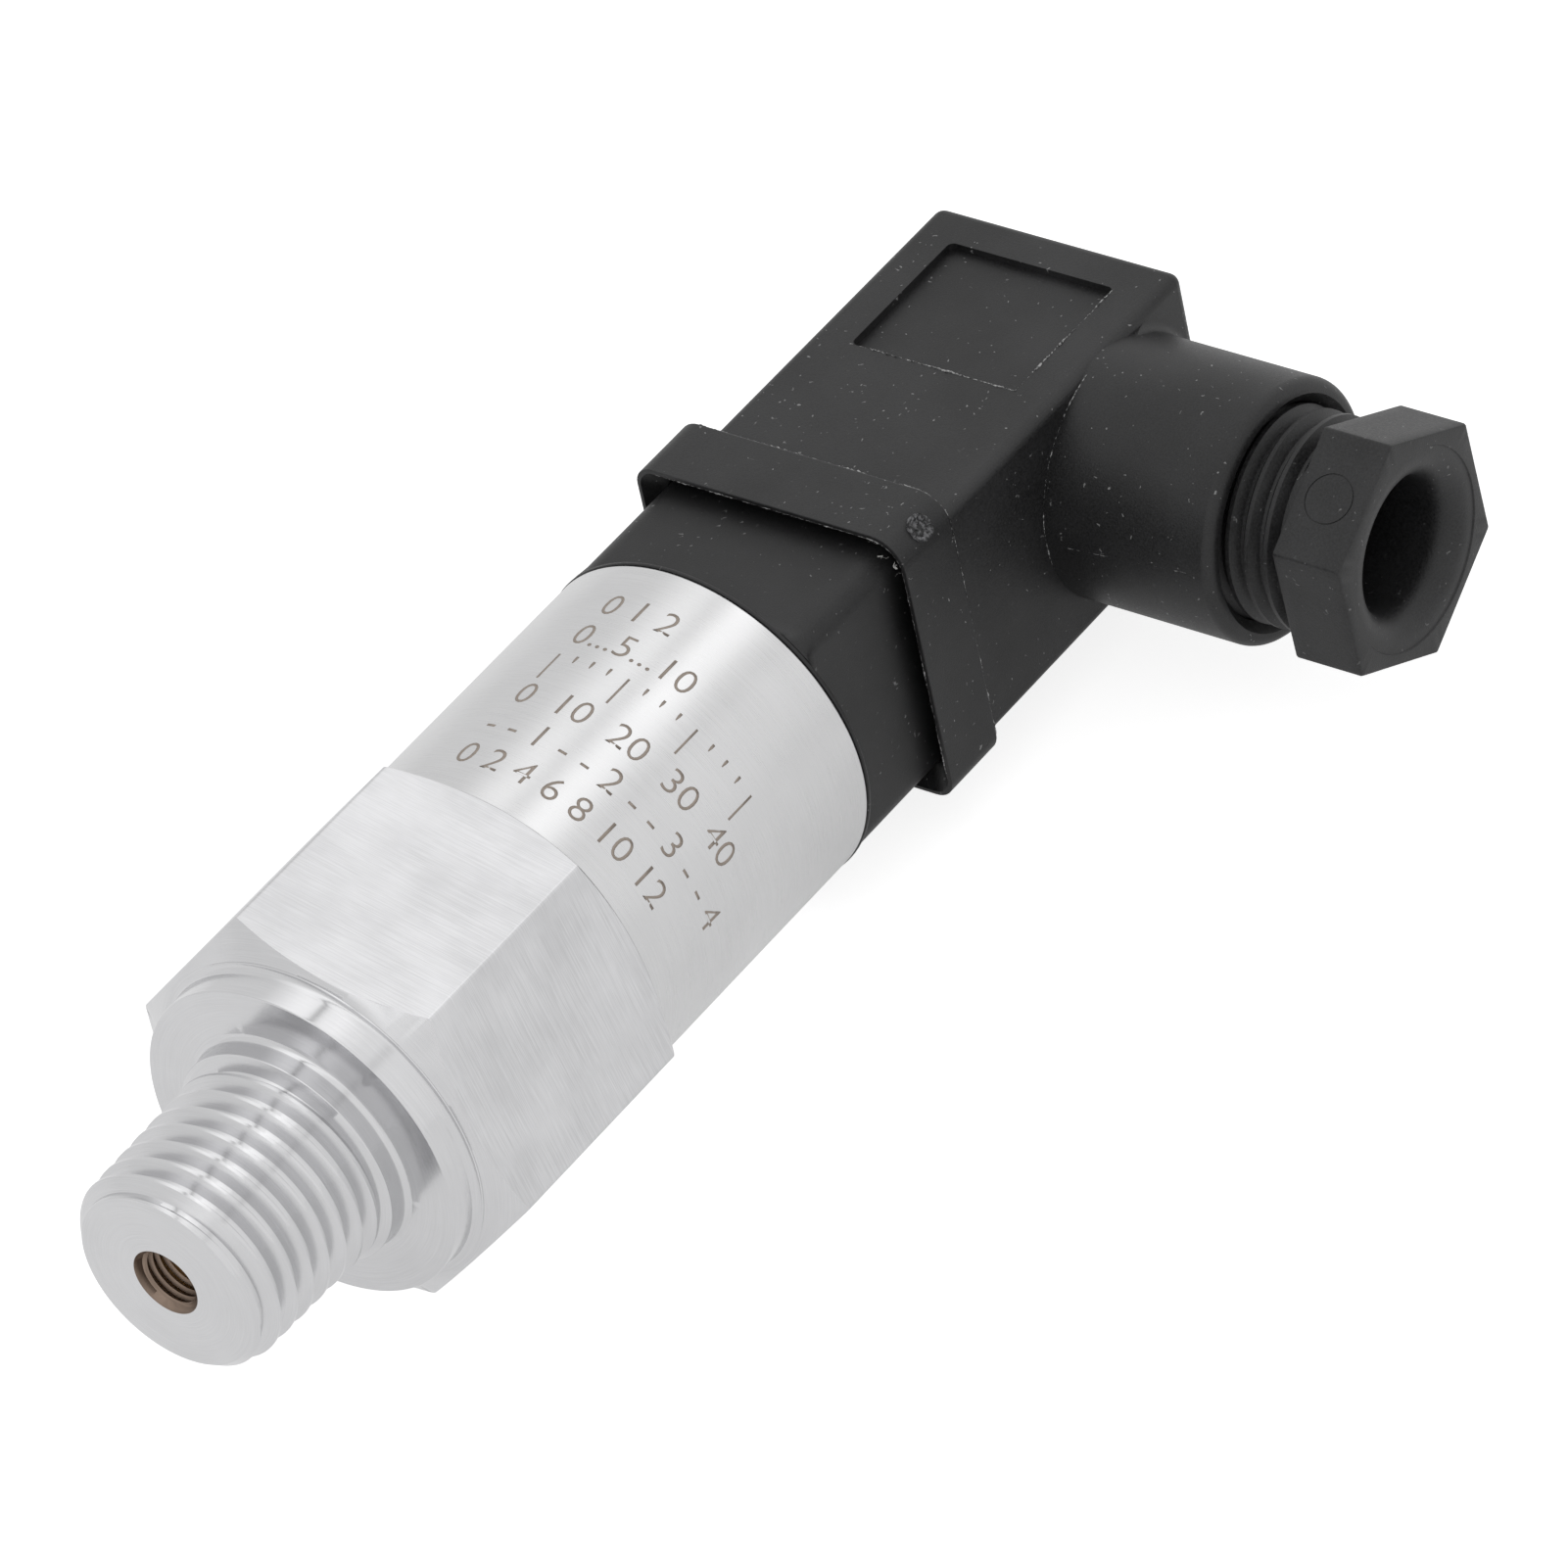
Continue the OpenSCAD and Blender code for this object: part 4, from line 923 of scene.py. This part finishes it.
        root = [on_boss(-12 - 4 * k, tower_side + 0.02 * MM) for k in range(24)]
        parting = [on_boss(-88, tower_side + 1.5 * MM), on_boss(-82.6, HOUSING_HIGH.x - 1.7 * MM)]
        runs = [("flash_panel", panel_path, 0.08, 3), ("flash_ledge", round_skirt(0.08 * MM, shoulder), 0.065, 5),
                ("flash_mouth", round_skirt(size.skirt_rim, low), 0.05, 17),
                ("flash_root", root, 0.055, 8), ("flash_parting", parting, 0.03, 11)]
        for name, path, width, seed in runs:
            place_bead(name, path, width * MM, seed, finish, "plug")
        self.add_lint(round_skirt(0.5 * MM, low + 0.3 * MM)[3:11])

    def add_lint(self, spots):
        """Short curled fibres that cling to the skirt's front corner."""
        finish = grained("lint_fibre", (0.62, 0.62, 0.6), roughness=0.8, scale=4.0)
        random = np.random.default_rng(29)
        for number, spot in enumerate(spots):
            heading = Vector(random.normal(0, 1, 3)).normalized()
            path = [spot + Vector(random.normal(0, 0.35, 3)) * MM]
            for k in range(7):
                heading = (heading + Vector(random.normal(0, 0.5, 3))).normalized()
                path.append(path[-1] + heading * 0.11 * MM)
            place_bead(f"lint_{number + 1}", path, 0.034 * MM, 40 + number, finish, "plug")


def place_bead(name, path, width, seed, finish, body):
    """A thin burr along a path, its width changing and fading out at random places."""
    random = np.random.default_rng(seed)
    points = []
    for a, b in zip(path, path[1:]):
        steps = max(2, int((b - a).length / (0.12 * MM)))
        points += [a.lerp(b, k / steps) for k in range(steps)]
    points.append(path[-1])
    rough = random.random(len(points))
    slow = np.interp(np.arange(len(points)), np.arange(0, len(points) + 9, 9),
                     random.random(len(np.arange(0, len(points) + 9, 9))))
    curve = bpy.data.curves.new(name, "CURVE")
    curve.dimensions = "3D"
    curve.bevel_depth = width
    curve.bevel_resolution = 1
    curve.use_fill_caps = True
    spline = curve.splines.new("POLY")
    spline.points.add(len(points) - 1)
    for i, point in enumerate(points):
        jitter = Vector(random.normal(0, 0.25, 3)) * width
        spline.points[i].co = (*(point + jitter), 1)
        spline.points[i].radius = max(0.12, (slow[i] - 0.35) * 1.4 + (rough[i] - 0.5) * 0.7)
    piece = bpy.data.objects.new(name, curve)
    bpy.context.scene.collection.objects.link(piece)
    curve.materials.append(finish)
    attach(piece, body)
    return piece


class TRANSMITTER_OT_gland(Operator):
    """Add the gland nut with its thread, hexagon and flared mouth"""
    bl_idname = "transmitter.add_gland"
    bl_label = "Gland nut"

    def execute(self, context):
        size = context.scene.gland_sizes
        colours = context.scene.finish_colours
        hexagon = hexagon_ring(size.across, size.corner, size.twist, 16)
        unit = directions(hexagon)
        tail, end = NUT_LOW.x, NUT_HIGH.x
        face = end - size.hexagon
        edge = size.corner * 0.7

        def shank(profile, height):
            return size.crest - size.depth * (1 - profile)

        relief = face - size.pitch * 0.55
        rows = [(unit * (size.crest - size.depth), tail)]
        rows += thread_rows(unit, tail + 0.02 * MM, relief, size.pitch, shank, crest_share=0.2, root_share=0.16)
        root = size.crest - size.depth
        inner, middle = hexagon * (1 - 2 * edge / size.across), hexagon * (1 - 0.6 * edge / size.across)
        rows += [(unit * root, relief + 0.05 * MM), (unit * root, face), (inner, face),
                 (middle, face + edge * 0.3), (hexagon, face + edge)]
        for k in range(1, 6):
            rows.append((hexagon, face + edge + (size.hexagon - 2 * edge) * k / 6))
        rows += [(hexagon, end - edge), (middle, end - edge * 0.3), (inner, end)]
        lip = NUT_BORE + size.flare
        rows += [(unit * (lip + 0.45 * MM), end), (unit * (lip + 0.40 * MM), end - 0.07 * MM),
                 (unit * (lip + 0.1 * MM), end - 0.07 * MM)]
        end -= 0.07 * MM
        for k in range(10):
            swing = k / 9 * pi / 2
            rows.append((unit * (lip - size.flare * sin(swing)), end - size.flare * (1 - cos(swing))))
        rows.append((unit * NUT_BORE, tail))
        piece = along_cable(spun("gland_nut_moulding", rows, loop=True))
        finish = moulded_plastic("nut_plastic", scaled_colour(colours.plastic, 1.2), colours.dust * 0.5, grain=7.0)

        bearing = radians(303)
        outward = Vector((0, sin(bearing), -cos(bearing)))
        spot = Vector((26.2 * MM, 0, OUTLET_HEIGHT)) + outward * size.across / 2
        tool = spun("tool", turned_rows(round_ring(48), [
            (size.ejector - 0.08 * MM, -0.05 * MM, 0), (size.ejector, -0.05 * MM, 0),
            (size.ejector, 0.2 * MM, 0), (size.ejector - 0.08 * MM, 0.2 * MM, 0)]), loop=True)
        tool.data.transform(Matrix.Translation(spot) @ outward.to_track_quat("Z", "X").to_matrix().to_4x4())
        carve(piece, [tool])
        place(piece, "gland_nut", "black_plastic", [finish], "gland_nut", sharp=34)
        return {"FINISHED"}


class TRANSMITTER_OT_centre_screw(Operator):
    """Add the slotted centre screw with its threaded tip"""
    bl_idname = "transmitter.add_centre_screw"
    bl_label = "Centre screw"

    def execute(self, context):
        size = context.scene.gland_sizes
        unit = round_ring(64)
        tip, top = SCREW_LOW.z, SCREW_HIGH.z
        under = top - size.head_height

        def thread(profile, height):
            return size.shank - 0.28 * MM * (1 - profile)

        rows = [(unit * 0, tip), (unit * (size.shank - 0.3 * MM), tip)]
        rows += thread_rows(unit, tip + 0.05 * MM, tip + 9 * MM, 0.5 * MM, thread)
        rows += [(unit * point.x, point.y) for point in softened([
            (size.shank * 0.9, tip + 9.1 * MM, 0), (size.shank * 0.9, under, 0.1 * MM), (size.head, under, 0.1 * MM),
            (size.head, top, 0.35 * MM), (0, top, 0)])]
        piece = spun("centre_screw_body", rows)
        slot = block("tool", (-size.head - MM, -0.4 * MM, top - MM), (size.head + MM, 0.4 * MM, top + MM))
        carve(piece, [slot])
        finish = turned_steel("screw_plated", (0.62, 0.62, 0.60), 0.3)
        place(piece, "centre_screw", "screw_steel", [finish], "centre_screw")
        return {"FINISHED"}


class TRANSMITTER_OT_inner_parts(Operator):
    """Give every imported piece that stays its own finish"""
    bl_idname = "transmitter.finish_inner_parts"
    bl_label = "Inner parts"

    def execute(self, context):
        colours = context.scene.finish_colours
        rubber = grained("rubber", (0.016, 0.016, 0.016), roughness=0.75, scale=6.0, spread=0.35, depth=0.03)
        tinned = grained("tinned_brass", (0.72, 0.66, 0.50), metallic=1.0, roughness=0.28, scale=4.0, spread=0.1,
                         depth=0.003)
        finishes = {
            "throttle_screw": grained("turned_brass", colours.brass, metallic=1.0, roughness=0.3, scale=5.0,
                                      spread=0.18, depth=0.01, stretch=(1, 1, 6)),
            "threaded_bush": grained("bush_brass", colours.brass, metallic=1.0, roughness=0.34, scale=3.0,
                                     stretch=(4, 4, 0.4)),
            "cell_seal": rubber, "base_seal": rubber, "cable_grommet": rubber, "screw_seal": rubber,
            "plug_gasket": grained("gasket_rubber", (0.028, 0.028, 0.03), roughness=0.7, scale=4.0, spread=0.3,
                                   depth=0.02),
            "sensor_cell": grained("ground_ceramic", (0.82, 0.80, 0.75), roughness=0.42, scale=2.5, spread=0.06,
                                   depth=0.006),
            "cell_retainer": turned_steel("retainer_steel", (0.55, 0.55, 0.56), 0.32, density=6.0),
            "board_holder": grained("holder_plastic", (0.05, 0.055, 0.065), roughness=0.5, scale=5.0),
            "circuit_board": solder_mask("solder_mask"),
            "amplifier_chip": grained("chip_case", (0.022, 0.022, 0.024), roughness=0.45, scale=12.0, spread=0.3,
                                      depth=0.01),
            "filter_capacitors": grained("capacitor_can", (0.60, 0.61, 0.64), metallic=1.0, roughness=0.25,
                                         scale=3.0, stretch=(3, 3, 0.3)),
            "cell_leads": grained("gold_wire", (0.85, 0.62, 0.25), metallic=1.0, roughness=0.25, scale=3.0),
            "pin_leads": grained("tinned_wire", (0.70, 0.62, 0.52), metallic=1.0, roughness=0.35, scale=3.0),
            "contact_pin_1": tinned, "contact_pin_2": tinned, "contact_pin_3": tinned, "earth_pin": tinned,
            "terminal_insert": grained("insert_plastic", (0.03, 0.03, 0.032), roughness=0.5, scale=8.0, spread=0.3),
            "spring_contact_1": tinned, "spring_contact_2": tinned, "spring_contact_3": tinned,
            "earth_contact": tinned,
            "terminal_screws": turned_steel("terminal_plated", (0.62, 0.62, 0.60), 0.3),
            "pressure_ring": grained("stamped_ring", (0.55, 0.55, 0.56), metallic=1.0, roughness=0.35, scale=2.0,
                                     depth=0.008),
        }
        for name, material in finishes.items():
            mesh = frame["nodes"][name].data
            for i in range(max(1, len(mesh.materials))):
                if i < len(mesh.materials):
                    mesh.materials[i] = material
                else:
                    mesh.materials.append(material)
        return {"FINISHED"}


class TRANSMITTER_OT_stage(Operator):
    """Add the white floor that the transmitter lies on, the lamps, the world and the camera"""
    bl_idname = "transmitter.add_stage"
    bl_label = "Stage"

    # The floor touches the hexagon's rear corner and the tower's back
    FLOOR_NORMAL = (0.0, -0.9971, -0.0765)
    FLOOR_REACH = -13.865 * MM
    # The camera as fitted to the photo, in millimetres, with its right, up and back directions
    CAMERA_PLACE = (352.40, -399.08, -324.01)
    CAMERA_RIGHT = (0.80393, 0.17511, 0.56836)
    CAMERA_UP = (-0.25366, -0.76342, 0.59401)
    CAMERA_BACK = (0.53791, -0.62171, -0.56932)
    KEY_DIRECTION = (0.209, -0.774, 0.596)
    # How bright the room looks in reflections, by the bearing about the stud's axis in degrees
    ROOM = ((-180, 0.86), (-130, 0.88), (-108, 1.36), (-97, 1.3), (-95.7, 0.35), (-94, 0.35), (-92.8, 1.15),
            (-88, 1.32), (-80, 1.25), (-70, 1.06), (-54, 1.04), (-50, 0.8), (-46, 1.02), (20, 0.96), (180, 0.9))
    ROOM_TOP = 2

    def execute(self, context):
        size = context.scene.stage_sizes
        self.add_floor(size)
        self.add_world(context.scene, size)
        self.add_key(size, distance=0.55, side=0.16)
        self.add_camera(context.scene, size)
        context.scene.view_settings.view_transform = "Standard"
        return {"FINISHED"}

    def add_floor(self, size):
        normal = Vector(self.FLOOR_NORMAL)
        half = size.floor / 2
        spread = normal.to_track_quat("Z", "Y").to_matrix().to_4x4()
        spread.translation = normal * self.FLOOR_REACH + Vector((0, 0, 35 * MM))
        corners = [spread @ Vector((x * half, y * half, 0)) for x, y in ((-1, -1), (1, -1), (1, 1), (-1, 1))]
        middle = spread.translation
        floor = finished("floor", [middle] + corners, [(0, 1, 2), (0, 2, 3), (0, 3, 4), (0, 4, 1)])
        material = bpy.data.materials.new("white_floor")
        material.use_nodes = True
        material.node_tree.nodes.clear()
        wiring = Wiring(material.node_tree)
        path = wiring.add("ShaderNodeLightPath").outputs
        mirrored = wiring.math("MAXIMUM", path["Is Glossy Ray"], path["Is Transmission Ray"])
        strength = wiring.math("ADD", wiring.math("MULTIPLY", path["Is Camera Ray"], size.floor_seen),
                               wiring.math("MULTIPLY", mirrored, size.floor_mirrored))
        paper = wiring.add("ShaderNodeBsdfDiffuse", {"Color": (0.8, 0.8, 0.8, 1)})
        glow = wiring.add("ShaderNodeEmission", {"Color": (1, 1, 1, 1), "Strength": strength})
        both = wiring.add("ShaderNodeAddShader", {0: paper.outputs[0], 1: glow.outputs[0]})
        clear = wiring.add("ShaderNodeBsdfTransparent")
        below = wiring.add("ShaderNodeNewGeometry").outputs["Backfacing"]
        sides = wiring.add("ShaderNodeMixShader", {0: below, 1: both.outputs[0], 2: clear.outputs[0]})
        wiring.add("ShaderNodeOutputMaterial", {"Surface": sides.outputs[0]})
        floor.data.materials.append(material)
        if floor.data.polygons[0].normal.dot(normal) < 0:
            floor.data.flip_normals()

    def add_world(self, scene, size):
        """Soft light all round, white to the camera, with brighter and darker parts in reflections."""
        world = bpy.data.worlds.new("studio")
        world.use_nodes = True
        scene.world = world
        wiring = Wiring(world.node_tree)
        path = wiring.add("ShaderNodeLightPath").outputs
        towards = wiring.add("ShaderNodeTexCoord").outputs["Generated"]
        x, y, z = wiring.add("ShaderNodeSeparateXYZ", {"Vector": towards}).outputs
        bearing = wiring.span(wiring.math("ARCTAN2", y, x), -pi, pi, 0, 1)
        room = wiring.add("ShaderNodeValToRGB", {"Fac": bearing})
        stops = room.color_ramp.elements
        while len(stops) > 1:
            stops.remove(stops[-1])
        for degrees, level in self.ROOM:
            stop = stops.new((degrees + 180) / 360)
            stop.color = (*[level / self.ROOM_TOP] * 3, 1)
        stops.remove(stops[0])
        mirrored = wiring.math("MULTIPLY", room.outputs["Color"], self.ROOM_TOP)
        lit = wiring.add("ShaderNodeMix", {"Factor": path["Is Glossy Ray"], "A": size.fill, "B": mirrored})
        clear = wiring.math("MAXIMUM", path["Is Camera Ray"], path["Is Transmission Ray"])
        seen = wiring.add("ShaderNodeMix", {"Factor": clear, "A": lit.outputs["Result"], "B": 1.0})
        light = wiring.tree.nodes["Background"].inputs
        light["Color"].default_value = (1, 1, 1, 1)
        wiring.tree.links.new(seen.outputs["Result"], light["Strength"])

    def add_key(self, size, distance, side):
        """A softbox over the object."""
        lamp = bpy.data.lights.new("key", "AREA")
        lamp.shape = "RECTANGLE"
        lamp.size = side
        lamp.size_y = side * 1.6
        lamp.energy = size.key
        holder = bpy.data.objects.new("key", lamp)
        bpy.context.scene.collection.objects.link(holder)
        aim = Vector(self.KEY_DIRECTION).normalized()
        spot = Vector((5, 0, 40)) * MM + aim * distance
        holder.matrix_world = Matrix.Translation(spot) @ aim.to_track_quat("Z", "Y").to_matrix().to_4x4()

    def add_camera(self, scene, size):
        data = bpy.data.cameras.new("photo_camera")
        data.lens = size.lens
        data.sensor_width = 36
        data.clip_start = 0.01
        data.clip_end = 20
        camera = bpy.data.objects.new("photo_camera", data)
        scene.collection.objects.link(camera)
        turned = Matrix((self.CAMERA_RIGHT, self.CAMERA_UP, self.CAMERA_BACK)).transposed().to_4x4()
        camera.matrix_world = Matrix.Translation(Vector(self.CAMERA_PLACE) * MM) @ turned
        scene.camera = camera


class TRANSMITTER_PT_pieces(Panel):
    """Lists the transmitter's sizes and the pieces that can be added"""
    bl_label = "Pressure transmitter"
    bl_space_type = "VIEW_3D"
    bl_region_type = "UI"
    bl_category = "Transmitter"

    def draw(self, context):
        for operator in OPERATORS:
            self.layout.operator(operator.bl_idname)
        for group in GROUPS:
            sizes = getattr(context.scene, group)
            column = self.layout.column(heading=group.replace("_", " "))
            for name in sizes.bl_rna.properties.keys():
                if name not in ("rna_type", "name"):
                    column.prop(sizes, name)


OPERATORS = (TRANSMITTER_OT_fitting, TRANSMITTER_OT_sleeve, TRANSMITTER_OT_marks, TRANSMITTER_OT_plug_base,
             TRANSMITTER_OT_plug_housing, TRANSMITTER_OT_gland, TRANSMITTER_OT_centre_screw,
             TRANSMITTER_OT_inner_parts, TRANSMITTER_OT_stage)
GROUPS = {"fitting_sizes": FittingSizes, "sleeve_sizes": SleeveSizes, "plug_sizes": PlugSizes,
          "gland_sizes": GlandSizes, "finish_colours": Colours, "stage_sizes": StageSizes}


def register():
    for group in GROUPS.values():
        bpy.utils.register_class(group)
    for name, group in GROUPS.items():
        setattr(bpy.types.Scene, name, PointerProperty(type=group))
    for operator in OPERATORS:
        bpy.utils.register_class(operator)
    bpy.utils.register_class(TRANSMITTER_PT_pieces)


def unregister():
    bpy.utils.unregister_class(TRANSMITTER_PT_pieces)
    for operator in reversed(OPERATORS):
        bpy.utils.unregister_class(operator)
    for name, group in GROUPS.items():
        delattr(bpy.types.Scene, name)
        bpy.utils.unregister_class(group)


def main():
    """Registers the add-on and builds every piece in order."""
    register()
    bpy.ops.transmitter.add_fitting()
    bpy.ops.transmitter.add_sleeve()
    bpy.ops.transmitter.add_marks()
    bpy.ops.transmitter.add_plug_base()
    bpy.ops.transmitter.add_plug_housing()
    bpy.ops.transmitter.add_gland()
    bpy.ops.transmitter.add_centre_screw()
    bpy.ops.transmitter.finish_inner_parts()
    bpy.ops.transmitter.add_stage()


if __name__ == "__main__":
    main()
